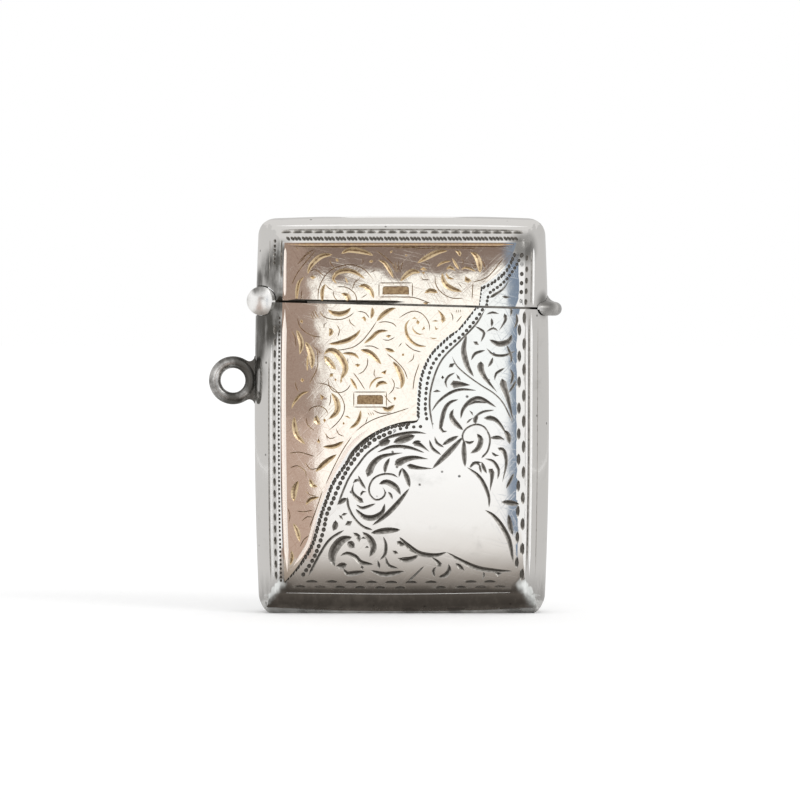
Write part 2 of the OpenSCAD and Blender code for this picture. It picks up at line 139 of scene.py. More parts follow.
LOWER_LEFT_SILVER = dict(corner=(278, 430), zoom=9.22, cuts=[
    ("line", 14, 1110, 440, 1050, 410, 960, 410, 880, 450, 840, 530, 850, 600, 900, 645, 960, 630,
     990, 580, 965, 530),
    ("leaf", 40, 930, 500, 1000, 480, 1090, 530, 1130, 600),
    ("head", 56, 823, 434, 871, 320, 949, 250, 1054, 224, 1150, 211),
    ("leaf", 28, 985, 400, 993, 330, 1030, 258),
    ("head", 60, 1075, 325, 1160, 277, 1264, 255, 1385, 268),
    ("leaf", 24, 915, 205, 1050, 155, 1200, 160, 1350, 210),
    ("leaf", 24, 923, 113, 1037, 62, 1176, 31, 1281, 22, 1368, 34),
    ("leaf", 50, 919, 146, 975, 115, 1037, 98),
    ("leaf", 52, 1063, 115, 1159, 85, 1264, 52),
    ("head", 44, 1240, 116, 1310, 137, 1395, 200),
    ("leaf", 34, 1145, 350, 1190, 440, 1215, 530),
    ("leaf", 16, 1115, 435, 1125, 390, 1145, 350),
    ("leaf", 34, 1210, 540, 1090, 690, 980, 800, 870, 880),
    ("leaf", 20, 1015, 570, 1040, 600, 1055, 640),
    ("leaf", 22, 740, 420, 770, 490, 810, 545),
    ("leaf", 22, 690, 490, 715, 468, 740, 450),
    ("tail", 40, 700, 490, 685, 560, 720, 620, 790, 670),
    ("leaf", 18, 760, 610, 780, 570, 815, 570),
    ("leaf", 22, 720, 690, 780, 720, 900, 680),
    ("leaf", 40, 715, 730, 790, 800, 880, 810, 960, 760, 985, 680),
    ("line", 18, 640, 620, 650, 710, 700, 810, 780, 890, 872, 924),
    ("leaf", 34, 545, 690, 590, 655, 640, 630),
    ("leaf", 20, 560, 785, 580, 805, 600, 830),
    ("leaf", 20, 580, 790, 610, 778, 640, 770),
    ("leaf", 38, 618, 880, 652, 862, 684, 842),
    ("leaf", 40, 530, 832, 528, 885, 507, 932),
    ("leaf", 42, 856, 952, 990, 930, 1128, 922),
    ("leaf", 62, 682, 989, 586, 1019, 516, 1107, 498, 1186, 520, 1260),
    ("leaf", 32, 690, 948, 740, 985, 746, 1038),
    ("leaf", 46, 778, 941, 856, 1019, 881, 1098, 843, 1172),
    ("leaf", 24, 970, 985, 995, 1060, 985, 1150, 940, 1200),
    ("leaf", 34, 574, 1164, 632, 1138, 710, 1170, 762, 1222, 878, 1243),
    ("leaf", 50, 640, 1032, 672, 1058, 706, 1088),
    ("leaf", 44, 533, 1260, 594, 1254, 636, 1240),
    ("leaf", 36, 603, 1280, 634, 1326, 700, 1324, 800, 1306),
    ("leaf", 24, 770, 1252, 775, 1272, 780, 1296),
    ("leaf", 16, 765, 1004, 785, 994, 812, 1006),
    ("leaf", 16, 800, 1090, 820, 1079, 838, 1086),
    ("leaf", 36, 1095, 1030, 1130, 1050, 1175, 1058),
    ("leaf", 36, 852, 1299, 987, 1334, 1165, 1306),
    ("leaf", 22, 918, 1203, 928, 1240, 932, 1284),
    ("leaf", 22, 990, 1170, 1020, 1250, 1110, 1280),
    ("leaf", 28, 1053, 1116, 1080, 1132, 1110, 1140),
    ("leaf", 34, 1100, 1184, 1180, 1204, 1290, 1168),
    ("leaf", 30, 1120, 990, 1200, 1080, 1290, 1150),
    ("line", 10, 1340, 1270, 1265, 1345, 1190, 1420),
])
LOWER_RIGHT_SILVER = dict(corner=(400, 430), zoom=9.22, cuts=[
    ("leaf", 38, 580, 65, 440, 215, 300, 355),
    ("head", 40, 62, 328, 180, 350, 305, 357),
    ("leaf", 34, 590, 90, 590, 200, 600, 340),
    ("leaf", 26, 620, 345, 720, 420, 780, 510, 820, 620, 822, 715),
    ("leaf", 34, 785, 740, 860, 790, 940, 890, 1010, 1030, 1045, 1220),
    ("leaf", 34, 1035, 1305, 900, 1302, 730, 1280, 590, 1222, 430, 1130),
    ("leaf", 34, 430, 1130, 340, 1155, 250, 1155, 160, 1130, 60, 1050, 0, 990),
    ("tail", 42, 282, 1170, 338, 1212, 378, 1267),
    ("leaf", 22, 332, 1264, 306, 1308, 322, 1360),
    ("leaf", 34, 448, 1238, 454, 1296, 419, 1343, 355, 1362),
    ("leaf", 30, 512, 1232, 550, 1262, 594, 1298),
    ("leaf", 36, 872, 1322, 905, 1332, 940, 1326),
    ("leaf", 18, 770, 1310, 775, 1350, 760, 1385),
    ("line", 10, 220, 1260, 145, 1330, 70, 1400),
    ("leaf", 22, 0, 1185, 90, 1185, 170, 1155),
    ("line", 14, 800, 0, 830, 80, 810, 190, 750, 260),
    ("leaf", 38, 710, 35, 745, 90, 720, 170, 650, 215),
    ("leaf", 20, 590, 100, 640, 120, 685, 100),
    ("leaf", 20, 835, 70, 910, 65, 965, 95),
    ("leaf", 36, 960, 0, 1000, 60, 1010, 130),
    ("head", 36, 900, 165, 960, 200, 980, 310, 945, 480),
    ("leaf", 22, 785, 265, 860, 290, 910, 370, 900, 455),
    ("leaf", 18, 845, 205, 880, 235, 915, 235),
    ("head", 40, 815, 360, 850, 400, 830, 570),
    ("leaf", 22, 1050, 400, 1015, 470, 980, 540),
    ("leaf", 18, 640, 345, 690, 300, 750, 340),
    ("leaf", 16, 730, 320, 740, 360, 750, 400),
    ("leaf", 16, 760, 300, 780, 350, 800, 400),
    ("leaf", 36, 935, 665, 1010, 672, 1100, 685),
    ("leaf", 34, 1000, 780, 1020, 900, 1040, 970),
    ("leaf", 20, 320, 60, 340, 120, 405, 160),
    ("leaf", 22, 270, 90, 300, 170, 380, 230),
    ("leaf", 30, 390, 140, 460, 95, 540, 55),
])
MIDDLE_SILVER = dict(corner=(400, 400), zoom=9.8, cuts=[
    ("line", 14, 628, 425, 612, 350, 650, 280, 740, 240, 820, 262, 872, 330),
    ("leaf", 34, 742, 236, 736, 190, 768, 138),
    ("leaf", 30, 118, 428, 160, 416, 205, 404),
    ("leaf", 24, 690, 668, 720, 622, 800, 612),
    ("leaf", 22, 800, 605, 815, 660, 850, 720),
    ("leaf", 18, 650, 60, 740, 20, 860, 30),
])
LID_SILVER = dict(corner=(400, 236), zoom=9.8, cuts=[
    ("tail", 26, 1075, 420, 1020, 510, 950, 562, 880, 605),
    ("leaf", 20, 1000, 590, 1040, 600, 1080, 600),
])
LID_GOLD_LEFT = dict(corner=(278, 236), zoom=11.04, cuts=[
    ("leaf", 36, 330, 420, 350, 350, 410, 275, 490, 220, 600, 205),
    ("leaf", 36, 700, 195, 770, 160, 860, 160, 960, 180, 1050, 215),
    ("leaf", 22, 1005, 288, 1030, 280, 1055, 275),
    ("leaf", 27, 1110, 270, 1165, 290, 1215, 350, 1275, 465),
    ("leaf", 20, 640, 245, 652, 266, 665, 285),
    ("leaf", 30, 350, 450, 385, 458, 420, 455),
    ("leaf", 26, 290, 450, 240, 500, 215, 580, 205, 720),
    ("leaf", 32, 650, 525, 610, 480, 640, 420, 720, 385, 820, 390, 900, 430, 960, 475),
    ("head", 22, 740, 455, 755, 485, 770, 520),
    ("leaf", 36, 890, 560, 950, 550, 1020, 600, 1060, 690),
    ("leaf", 26, 490, 740, 490, 600, 525, 530),
    ("leaf", 36, 700, 635, 760, 660, 800, 760),
    ("leaf", 38, 1350, 500, 1420, 430, 1490, 390, 1568, 405),
    ("leaf", 16, 1238, 188, 1250, 175, 1265, 160),
    ("leaf", 14, 1405, 212, 1415, 215, 1426, 220),
], lines=[
    (575, 265, 585, 310, 630, 350), (350, 400, 400, 370, 460, 400, 510, 450),
    (265, 590, 258, 650, 255, 720), (820, 590, 850, 510, 905, 475), (920, 685, 950, 665, 985, 640),
    (440, 740, 450, 590, 500, 470, 580, 380, 700, 330, 830, 320, 950, 370, 1050, 475),
    (530, 540, 560, 575, 605, 600), (620, 600, 610, 640, 625, 680, 660, 715),
    (650, 560, 760, 570, 850, 640, 880, 760), (1090, 165, 1180, 230, 1280, 320),
    (150, 540, 220, 400, 330, 260, 420, 160), (215, 310, 260, 272, 300, 240),
    (240, 270, 285, 234, 330, 200), (270, 230, 320, 204, 370, 180), (300, 200, 350, 174, 400, 150),
    (190, 110, 210, 136, 230, 160), (1260, 300, 1285, 350, 1312, 400), (1290, 280, 1308, 340, 1325, 400),
    (1330, 270, 1334, 335, 1338, 400), (1380, 280, 1364, 340, 1350, 400),
    (1015, 405, 1050, 390, 1085, 370), (930, 240, 940, 280, 925, 310), (290, 112, 600, 122, 980, 124),
    (1280, 132, 1420, 130, 1560, 127),
])
LID_GOLD_RIGHT = dict(corner=(400, 236), zoom=9.8, cuts=[
    ("leaf", 32, 170, 265, 280, 200, 380, 155, 465, 145),
    ("leaf", 26, 540, 145, 575, 160, 590, 200),
    ("leaf", 36, 690, 160, 740, 190, 775, 260, 785, 360),
    ("leaf", 16, 360, 300, 420, 260, 500, 245),
    ("leaf", 16, 510, 215, 540, 270, 580, 330),
    ("leaf", 14, 600, 330, 640, 310, 700, 325, 740, 350),
    ("leaf", 22, 195, 330, 230, 320, 265, 335),
    ("leaf", 16, 215, 355, 230, 362, 245, 365),
    ("leaf", 32, 415, 365, 420, 420, 450, 480, 520, 520, 605, 545),
    ("leaf", 22, 455, 330, 490, 305, 540, 340),
    ("leaf", 16, 450, 360, 475, 410, 530, 420),
    ("leaf", 28, 240, 560, 290, 535, 330, 540, 370, 555),
    ("leaf", 32, 640, 395, 650, 430, 700, 440),
    ("leaf", 16, 225, 655, 265, 665, 300, 685),
], lines=[
    (785, 230, 820, 270, 840, 330), (245, 260, 268, 264, 290, 270), (700, 275, 722, 268, 745, 265),
    (710, 295, 730, 291, 750, 290), (715, 312, 735, 310, 755, 312), (200, 390, 220, 425, 290, 430),
    (345, 390, 345, 450, 375, 520, 440, 580, 520, 610, 625, 610), (570, 460, 590, 485, 610, 510),
    (715, 450, 800, 430, 870, 390, 940, 310, 1010, 220), (715, 460, 710, 540, 705, 620),
    (0, 600, 140, 605, 300, 660), (120, 130, 400, 118, 760, 122), (600, 220, 620, 250, 610, 290),
])
BODY_GOLD_UPPER = dict(corner=(278, 300), zoom=11.04, cuts=[
    ("leaf", 36, 205, 330, 240, 410, 260, 500, 240, 600),
    ("leaf", 42, 300, 460, 345, 540, 375, 640, 375, 760),
    ("leaf", 16, 330, 600, 325, 690, 325, 780),
    ("leaf", 22, 250, 215, 260, 236, 270, 260),
    ("leaf", 26, 263, 860, 268, 885, 270, 910),
    ("leaf", 36, 550, 105, 600, 140, 680, 155, 760, 130, 805, 85),
    ("leaf", 22, 920, 200, 950, 195, 965, 240),
    ("leaf", 26, 1040, 80, 1045, 140, 1025, 210),
    ("leaf", 32, 1090, 235, 1150, 170, 1230, 110, 1300, 90),
    ("leaf", 32, 565, 310, 590, 350, 565, 400),
    ("leaf", 32, 560, 485, 660, 475, 780, 440, 870, 380, 910, 325),
    ("leaf", 27, 950, 480, 1030, 420, 1110, 350, 1215, 340),
    ("leaf", 22, 1190, 400, 1220, 402, 1250, 390),
    ("leaf", 48, 510, 600, 560, 555, 630, 570, 690, 630, 740, 720, 740, 790, 690, 880),
    ("leaf", 42, 510, 615, 570, 690, 640, 770),
    ("leaf", 30, 570, 850, 590, 828, 610, 810),
    ("leaf", 20, 625, 878, 635, 880, 648, 878),
    ("leaf", 16, 690, 920, 698, 890, 700, 860),
    ("leaf", 22, 710, 590, 780, 590, 850, 605, 895, 650),
    ("leaf", 26, 850, 715, 880, 722, 910, 715),
    ("leaf", 36, 910, 550, 990, 570, 1060, 620, 1140, 710),
    ("leaf", 26, 1180, 535, 1235, 555, 1290, 570),
    ("leaf", 40, 1270, 680, 1320, 750, 1360, 830, 1375, 910, 1355, 980),
    ("leaf", 26, 1140, 800, 1175, 805, 1200, 770),
    ("leaf", 22, 800, 860, 830, 910, 875, 990),
    ("leaf", 14, 1010, 980, 1030, 920, 1090, 865, 1160, 855),
    ("leaf", 26, 1080, 970, 1110, 925, 1160, 910, 1210, 925),
    ("leaf", 26, 1275, 1078, 1290, 1090, 1308, 1080),
    ("leaf", 32, 1150, 1185, 1210, 1210, 1290, 1160),
    ("leaf", 40, 590, 1025, 640, 1100, 660, 1180, 640, 1250, 560, 1315),
    ("leaf", 26, 465, 1040, 490, 1070, 475, 1105),
    ("leaf", 40, 430, 1270, 425, 1330, 470, 1375),
    ("leaf", 26, 500, 1320, 515, 1330, 532, 1325),
    ("leaf", 22, 150, 1200, 180, 1130, 260, 1040, 340, 1010),
    ("leaf", 36, 180, 1290, 180, 1380, 200, 1480, 245, 1560),
    ("leaf", 26, 915, 1215, 900, 1300, 860, 1370, 790, 1420),
    ("leaf", 14, 735, 1280, 770, 1290, 800, 1310),
    ("leaf", 20, 715, 1358, 725, 1363, 737, 1358),
    ("leaf", 20, 1370, 615, 1380, 605, 1392, 592),
], lines=[
    (215, 200, 240, 290, 310, 360, 400, 400, 480, 410),
    (380, 500, 430, 560, 440, 650, 430, 760, 350, 920), (190, 900, 200, 960, 225, 1010),
    (460, 120, 500, 180, 580, 210, 690, 215, 770, 190, 840, 140), (785, 200, 800, 250, 855, 295),
    (880, 125, 960, 140, 1010, 200), (500, 310, 510, 270, 540, 250), (645, 270, 680, 330, 660, 410),
    (1090, 235, 1020, 340, 930, 450, 830, 520, 700, 550, 640, 550),
    (1110, 250, 1190, 240, 1270, 260, 1310, 300), (1155, 435, 1220, 445, 1290, 410),
    (1330, 520, 1350, 494, 1370, 470), (1500, 590, 1490, 650, 1440, 690), (430, 540, 455, 570, 480, 600),
    (560, 880, 565, 950, 620, 1010, 700, 1020, 770, 980, 800, 930),
    (990, 640, 985, 720, 940, 790, 885, 820), (780, 700, 770, 670, 770, 640),
    (950, 510, 1040, 510, 1120, 545), (1200, 590, 1300, 670, 1390, 770, 1430, 870),
    (1070, 760, 1060, 820, 1080, 860), (830, 800, 890, 880, 960, 990),
    (1250, 860, 1285, 920, 1270, 990, 1220, 1045), (1290, 965, 1320, 972, 1350, 975),
    (1050, 1215, 1130, 1250, 1250, 1245), (1170, 1045, 1230, 1120, 1260, 1140),
    (430, 915, 540, 935, 640, 1000, 710, 1090, 735, 1180, 715, 1270, 650, 1360, 560, 1440),
    (580, 1040, 580, 1120, 560, 1170), (330, 1240, 370, 1190, 460, 1170, 530, 1210, 550, 1260),
    (640, 1415, 670, 1480, 730, 1505), (960, 1370, 978, 1330, 990, 1290),
    (530, 1470, 540, 1510, 545, 1550), (860, 1450, 960, 1370, 1100, 1300, 1300, 1240, 1450, 1190),
    (1490, 990, 1510, 850, 1560, 700), (150, 340, 190, 420, 200, 520), (310, 1300, 330, 1380, 400, 1440),
    (990, 1240, 1002, 1258, 1010, 1275), (1015, 1238, 1027, 1256, 1035, 1273),
    (1040, 1238, 1052, 1256, 1060, 1272), (380, 120, 400, 170, 430, 210), (400, 110, 425, 160, 455, 200),
    (360, 140, 380, 190, 405, 225),
])
BODY_GOLD_RIGHT = dict(corner=(405, 300), zoom=18.45, cuts=[
    ("leaf", 36, 90, 360, 20, 450, 20, 580, 60, 690, 150, 790, 260, 845, 390, 855),
    ("leaf", 22, 130, 345, 175, 330, 220, 355),
    ("leaf", 44, 228, 365, 238, 410, 238, 455),
    ("leaf", 20, 140, 480, 150, 550, 210, 610, 270, 635, 340, 625),
    ("leaf", 28, 310, 555, 350, 525, 352, 480),
    ("tail", 62, 600, 180, 660, 250, 705, 330, 690, 425),
    ("leaf", 20, 500, 390, 560, 386, 620, 390),
    ("leaf", 24, 550, 480, 575, 540, 620, 530),
    ("leaf", 14, 450, 690, 510, 710, 590, 705),
], lines=[
    (-110, 330, 0, 262, 80, 225, 180, 205, 300, 245, 400, 350, 450, 470, 450, 570),
    (840, 230, 880, 300, 880, 380), (950, 410, 1000, 350, 1050, 290),
    (0, 790, 70, 860, 160, 922, 300, 960), (950, 180, 952, 205, 955, 230),
    (985, 178, 990, 205, 992, 235), (1020, 176, 1025, 200, 1030, 232),
])
BODY_GOLD_LOWER = dict(corner=(278, 430), zoom=9.22, cuts=[
    ("leaf", 24, 155, 10, 190, 70, 250, 130),
    ("leaf", 26, 415, 155, 520, 150, 605, 105),
    ("leaf", 36, 185, 470, 150, 560, 145, 660),
    ("leaf", 26, 290, 450, 320, 510, 365, 520),
    ("leaf", 26, 140, 860, 180, 940, 200, 1030),
    ("leaf", 30, 360, 112, 375, 100, 392, 108),
    ("leaf", 30, 345, 385, 450, 290, 540, 225),
    ("leaf", 22, 255, 690, 300, 640, 380, 620),
    ("leaf", 20, 120, 1110, 130, 1180, 110, 1250),
], lines=[
    (105, 215, 200, 205, 340, 245), (250, 560, 300, 600, 360, 610), (170, 745, 230, 755, 320, 740),
    (250, 300, 300, 360, 380, 350), (220, 840, 270, 800, 330, 810),
    (110, 350, 180, 330, 250, 380, 260, 440), (200, 1080, 240, 1010, 290, 970),
    (90, 720, 110, 790, 100, 850), (680, 60, 600, 180, 520, 330, 440, 500),
    (410, 560, 350, 740, 290, 900), (430, 30, 480, 80, 540, 60),
])

# Sunk fields in the gold and the fine lines round them: left, top, right and bottom pixel.
LID_FIELD = (382, 286, 409.5, 294.6)
LID_FIELD_LINE = (379, 283, 412.4, 297)
BODY_FIELD = (356.5, 394.8, 383.5, 404.4)
BODY_FIELD_LINE = (353.8, 392, 386.4, 407)

# Rows of punch marks and border lines: pixel paths on the face.
GOLD_EDGE_LID = (514.5, 255, 507, 270, 498, 279, 489, 285, 480.8, 288.5)
GOLD_EDGE_STEP = (480.6, 290, 479.5, 298, 478.5, 304)
GOLD_EDGE_BODY = (480, 302, 472, 312.5, 461.7, 326, 451, 335.5, 441.6, 344, 432, 353.6, 425.3, 366,
                  421, 379.5, 419.6, 392, 418.5, 405, 418.2, 416)
GOLD_EDGE_TAIL = (408, 424.6, 395, 426.2, 384, 430, 374, 435.3, 356, 450.4, 344.2, 466.8, 333.3, 483,
                  326.8, 499.4, 321.4, 514.6, 317, 530, 312.7, 544, 306.2, 556, 296.4, 569, 285, 581)
DOTS_LID = (521.4, 256, 514.3, 268.7, 506, 280, 498, 287, 489.8, 293, 487.2, 301, 486.7, 305)
DOTS_BODY = (488, 301, 476, 319.2, 461.7, 335.4, 445.4, 348.8, 433, 364, 427.2, 383.3, 425.3, 406.2,
             426.7, 418.7)
DOTS_CORNER = (420.5, 426.6, 413, 427, 406.6, 427.6, 400.5, 428.8, 394.6, 430.6)
DOTS_TAIL = (389.7, 432.7, 374.5, 439.8, 361.5, 450.6, 352.8, 461.5, 345.2, 473.4, 338.7, 486.4,
             333.3, 499.4, 326.8, 514.6, 323.6, 529.8, 318, 548, 311.6, 562, 303, 575)
GOLD_FOOT = (345.4, 463, 355, 448.8, 372.6, 433, 383, 427.4, 392, 424, 400, 422.8, 410, 422.2,
             416.6, 421.2, 419.6, 417)
LINE_BODY = (485.6, 308.6, 476, 324, 460.7, 340.2, 441.6, 360.3, 432, 384.2, 429.6, 405.3, 433, 429.2)
LINE_TAIL_UPPER = (393, 434.3, 382, 443, 368, 452.8, 358.3, 464.7, 348.5, 478.8, 339.8, 499.4,
                   337.7, 504.8)
LINE_TAIL_LOWER = (344, 530.3, 330, 539.5, 321.4, 551.5, 314.9, 563.4, 308.4, 576.4)
TOP_LINE = (281, 229.6, 340, 229.4, 400, 229.3, 460, 229.5, 523, 230.2)
TOP_ARCHES = (286, 232.7, 400, 232.9, 518, 233.2)
TOP_DASHES = (288, 238.4, 400, 238.6, 516, 238.4)
LEFT_LINE = (268.7, 354, 268.4, 400, 268.5, 450, 269, 520, 270.4, 583)
LEFT_LINE_LID = (269.8, 240, 269.4, 256, 269.2, 272)
LEFT_BEADS = (274.8, 330, 274, 400, 274, 450, 274.6, 520, 275.8, 576)
LEFT_BEADS_LID = (274.8, 241, 274.5, 252, 274.3, 263)
LEFT_INNER = (279.6, 318, 278.8, 400, 278.8, 450, 279.4, 520, 280.8, 581)
LEFT_GROOVE = (282, 322, 281.2, 370, 281, 413, 281.4, 470, 282.4, 520, 284.1, 574)
LEFT_GROOVE_LID = (281.6, 240, 281.4, 260, 281.2, 278)
RIGHT_LINE = (529.4, 312, 529.2, 400, 528.7, 480, 527, 572)
RIGHT_LINE_OUTER = (538.4, 320, 538, 400, 537.6, 480, 536, 576)
RIGHT_LINE_LID = (531.6, 251, 531.6, 275, 531.2, 305)
RIGHT_BEADS = (524.4, 318, 524, 400, 523.4, 480, 522, 575)
RIGHT_BEADS_LID = (527.2, 258, 526.8, 276, 526, 302)
RIGHT_INNER = (519.4, 330, 519, 400, 518.4, 480, 517, 563)
RIGHT_INNER_LID = (521.9, 255, 521.8, 275, 521, 301)
BOTTOM_UPPER = (311.6, 582.6, 400, 583.2, 490, 582.6)
BOTTOM_LOWER = (300, 587.6, 400, 588.6, 500, 587.6)
BOTTOM_LINE = (286, 593.4, 400, 594.4, 510, 593)
LEFT_SHINE = (271.3, 345, 271, 400, 271.1, 450, 271.6, 520, 272.8, 580)
LEFT_SHINE_INNER = (277.4, 332, 276.8, 400, 276.8, 450, 277.5, 520, 278.8, 578)
RIGHT_SHINE = (531.8, 313, 531.6, 400, 531.2, 480, 529.6, 576)
RIGHT_SHINE_INNER = (527, 314, 526.8, 400, 526.4, 480, 525, 574)
RIGHT_SHINE_LID = (534, 248, 534, 275, 533.4, 305)
TOP_SHINE = (276, 225.6, 340, 225, 400, 224.8, 460, 225.2, 528, 226.4)
# Paths of the painted shade in the mouth's gap.
MOUTH_LEFT = (266, 298.2, 276, 299.6, 286, 300.9, 299, 302.4)
MOUTH_LID = (286, 300.4, 340, 301.2, 405, 302)
MOUTH_RIGHT = (538, 309.6, 544, 311, 550, 313)
# Painted highlights along the gold's edges, and a painted shade line under the top one.
GOLD_RIM_BODY = (285, 309, 284, 360, 283.8, 413, 284.3, 470, 285.2, 520, 287.2, 572)
GOLD_RIM_TAIL = (368.5, 428.6, 350.6, 445.2, 339.2, 463.6, 329.5, 480.8, 322.8, 497.6, 317.3, 513,
                 312.8, 528.6, 308.6, 542.4, 302.4, 553.8, 293.2, 566.2)
GOLD_RIM_LID = (285.3, 248, 285, 270, 284.9, 296)
GOLD_RIM_TOP = (287, 244.4, 340, 244.3, 400, 244.2, 460, 244.3, 516, 244.5)
GOLD_RIM_SHADE = (289, 246.6, 340, 246.5, 400, 246.4, 460, 246.5, 512, 246.7)

# Marks of the borders, in the order in which they are cut. A row, or an arch row whose marks have a
# straight foot: path, count, length and width in mm, tilt. A line or a leaf: path, width in mm.
EDGE_TILT = 0.55
STEP_TILT = 0.9
DASH_TILT = -1.0
BODY_MARKS = (
    ("row", GOLD_EDGE_BODY, 34, 0.52, 0.3, EDGE_TILT), ("row", GOLD_EDGE_TAIL, 54, 0.6, 0.36, EDGE_TILT),
    ("row", DOTS_BODY, 28, 0.42, 0.36), ("row", DOTS_TAIL, 32, 0.56, 0.46),
    ("line", LINE_BODY, 0.24), ("line", LINE_TAIL_UPPER, 0.26), ("line", LINE_TAIL_LOWER, 0.32),
    ("line", LEFT_LINE, 0.2), ("line", LEFT_GROOVE, 0.18), ("line", RIGHT_LINE, 0.24),
    ("line", GOLD_FOOT, 0.3), ("line", RIGHT_LINE_OUTER, 0.14),
    ("row", LEFT_BEADS, 22, 0.95, 0.4), ("row", LEFT_INNER, 64, 0.3, 0.27),
    ("row", RIGHT_BEADS, 11, 1.4, 0.52), ("row", RIGHT_INNER, 10, 1.3, 0.42),
    ("row", DOTS_CORNER, 5, 0.4, 0.36),
    ("arch", BOTTOM_UPPER, 10, 1.4, 0.5), ("arch", BOTTOM_LOWER, 11, 1.3, 0.46),
)
# Painted highlights: pale, weakly metallic lines along the border's creases and bands.
BODY_PAINTED_HIGHLIGHTS = (
    ("line", BOTTOM_LINE, 0.04), ("line", LEFT_SHINE, 0.3), ("line", LEFT_SHINE_INNER, 0.18),
    ("line", RIGHT_SHINE, 0.3), ("line", RIGHT_SHINE_INNER, 0.2),
)
# Painted shade: near black cuts along the mouth where the gap between lid and body is dark, under the thumb
# piece here, at the hinge's end and along the lid's gold below.
BODY_WEDGE = (("line", MOUTH_RIGHT, 0.4),)
LID_MARKS = (
    ("row", GOLD_EDGE_LID, 13, 0.5, 0.32, EDGE_TILT), ("row", GOLD_EDGE_STEP, 5, 0.4, 0.34, STEP_TILT),
    ("row", DOTS_LID, 15, 0.4, 0.34),
    ("line", TOP_LINE, 0.26), ("line", LEFT_LINE_LID, 0.12), ("line", RIGHT_LINE_LID, 0.18),
    ("line", LEFT_GROOVE_LID, 0.2),
    ("arch", TOP_ARCHES, 23, 1.15, 0.95), ("row", TOP_DASHES, 62, 0.66, 0.34, DASH_TILT),
    ("row", LEFT_BEADS_LID, 6, 0.4, 0.4), ("row", RIGHT_BEADS_LID, 5, 0.7, 0.42),
    ("row", RIGHT_INNER_LID, 6, 0.5, 0.42),
)
# Painted highlights along the lid's right border and top.
LID_PAINTED_HIGHLIGHTS = (("line", RIGHT_SHINE_LID, 0.26), ("line", TOP_SHINE, 0.26))
LID_WEDGE = (("leaf", MOUTH_LEFT, 0.8),)
LID_GOLD_WEDGE = (("leaf", MOUTH_LEFT, 0.9), ("line", MOUTH_LID, 0.3))
BODY_BACK_MARKS = (
    ("line", LEFT_LINE, 0.16), ("line", RIGHT_LINE, 0.16), ("line", BOTTOM_LINE, 0.16),
    ("row", LEFT_BEADS, 29, 0.6, 0.34), ("row", RIGHT_BEADS, 29, 0.6, 0.34),
    ("row", BOTTOM_UPPER, 22, 0.6, 0.34),
)
LID_BACK_MARKS = (
    ("line", LEFT_LINE_LID, 0.16), ("line", RIGHT_LINE_LID, 0.16), ("line", TOP_LINE, 0.16),
    ("row", LEFT_BEADS_LID, 6, 0.6, 0.34), ("row", RIGHT_BEADS_LID, 6, 0.6, 0.34),
    ("row", TOP_ARCHES, 24, 0.6, 0.34),
)

# The gold panels: drawings, sunk field and the line round it, rims of painted highlight with their share
# of the rim's width, an amber painted highlight and a painted shade line along the top, and the painted
# shade that lies over the mouth.
GOLD_PANELS = (
    dict(node="front_gold_panel", name="body_gold_engraved", body="case",
         drawings=(BODY_GOLD_UPPER, BODY_GOLD_RIGHT, BODY_GOLD_LOWER), field=BODY_FIELD,
         frame=BODY_FIELD_LINE, rim_highlights=((GOLD_RIM_BODY, 1.0), (GOLD_RIM_TAIL, 0.8)), tops=(), shades=(),
         wedge=()),
    dict(node="lid_gold_panel", name="lid_gold_engraved", body="lid",
         drawings=(LID_GOLD_LEFT, LID_GOLD_RIGHT), field=LID_FIELD, frame=LID_FIELD_LINE,
         rim_highlights=((GOLD_RIM_LID, 0.6),), tops=((GOLD_RIM_TOP, 0.6),), shades=((GOLD_RIM_SHADE, 1.4),),
         wedge=LID_GOLD_WEDGE),
)

# The cutters: how each shape swells and tapers along its length, the least half width of a cut, the
# lift of its top over the face, and the step and slack with which a row's path is measured.
LEAF_SWELL = 0.55
HEAD_RISE = 0.12
HEAD_SWELL = 0.7
HEAD_TAPER = 0.8
LINE_RISE = 0.08
LEAST_HALF = 0.012 * MM
LIFT = 0.04 * MM
ROW_STEP = 0.1 * MM
ROW_SLACK = 1e-9

# A punch mark is a cone of its length and width: radius of its floor and mouth, room that it needs,
# height, depth of its middle, and how far the straight foot of an arch is drawn in.
PUNCH_FLOOR = 0.3
PUNCH_MOUTH = 0.64
PUNCH_ROOM = 0.62
PUNCH_TALL = 0.17 * MM
PUNCH_SUNK = 0.035 * MM
ARCH_FOOT = 0.15

# A sunk field: spread of its top and its floor, height, rise of its middle, rounding of its corners
# and room round it.
FIELD_TOP = 1.04
FIELD_FLOOR = 0.9
FIELD_TALL = 0.18 * MM
FIELD_RISE = 0.01 * MM
FIELD_CORNER = 0.22 * MM
FIELD_ROOM = 0.1 * MM

# Rays start well outside the case and count only where the face looks back along them this much.
RAY_START = 20 * MM
RAY_FACING = 0.2
RAY_FACING_ROUND = 0.05

# Corners this close are one, slivers thinner than this go, and a triangle whose doubled area, squared,
# is less than this counts by its first corner.
MERGE = 1e-6
SLIVER = 1e-7
FLAT_TRIANGLE = 1e-30

# Normals of the engraved pieces. A corner looks for its CAD face from a little way towards its own
# face's middle, and takes the normal there if it is this near and turned no further than this.
LOOK_INWARD = 0.02
LOOK_NEAR = 0.03 * MM
LOOK_TURNED = 0.5

# Rounding starts on faces that look this much to the front, and is full after the span.
ROUND_FACING = 0.3
ROUND_FROM = 0.15
ROUND_SPAN = 0.25

# Where the rounding of a crease looks round a corner, in parts of its reach, and a place inside.
AROUND = [(0, 0)] + [(r * math.cos(a * math.pi / n), r * math.sin(a * math.pi / n))
                     for r, n in ((0.5, 2), (1.0, 4)) for a in range(2 * n)]
INSIDE = (0, 0, CROWN_Z)

# A face looks out of the case when it looks along these shares of its place, and this far in depth.
OUT_X = 0.35
OUT_Y = 3 * MM
OUT_Z = 0.2

# The depth at which a cut counts as full.
FULL_CUT = 0.12 * MM
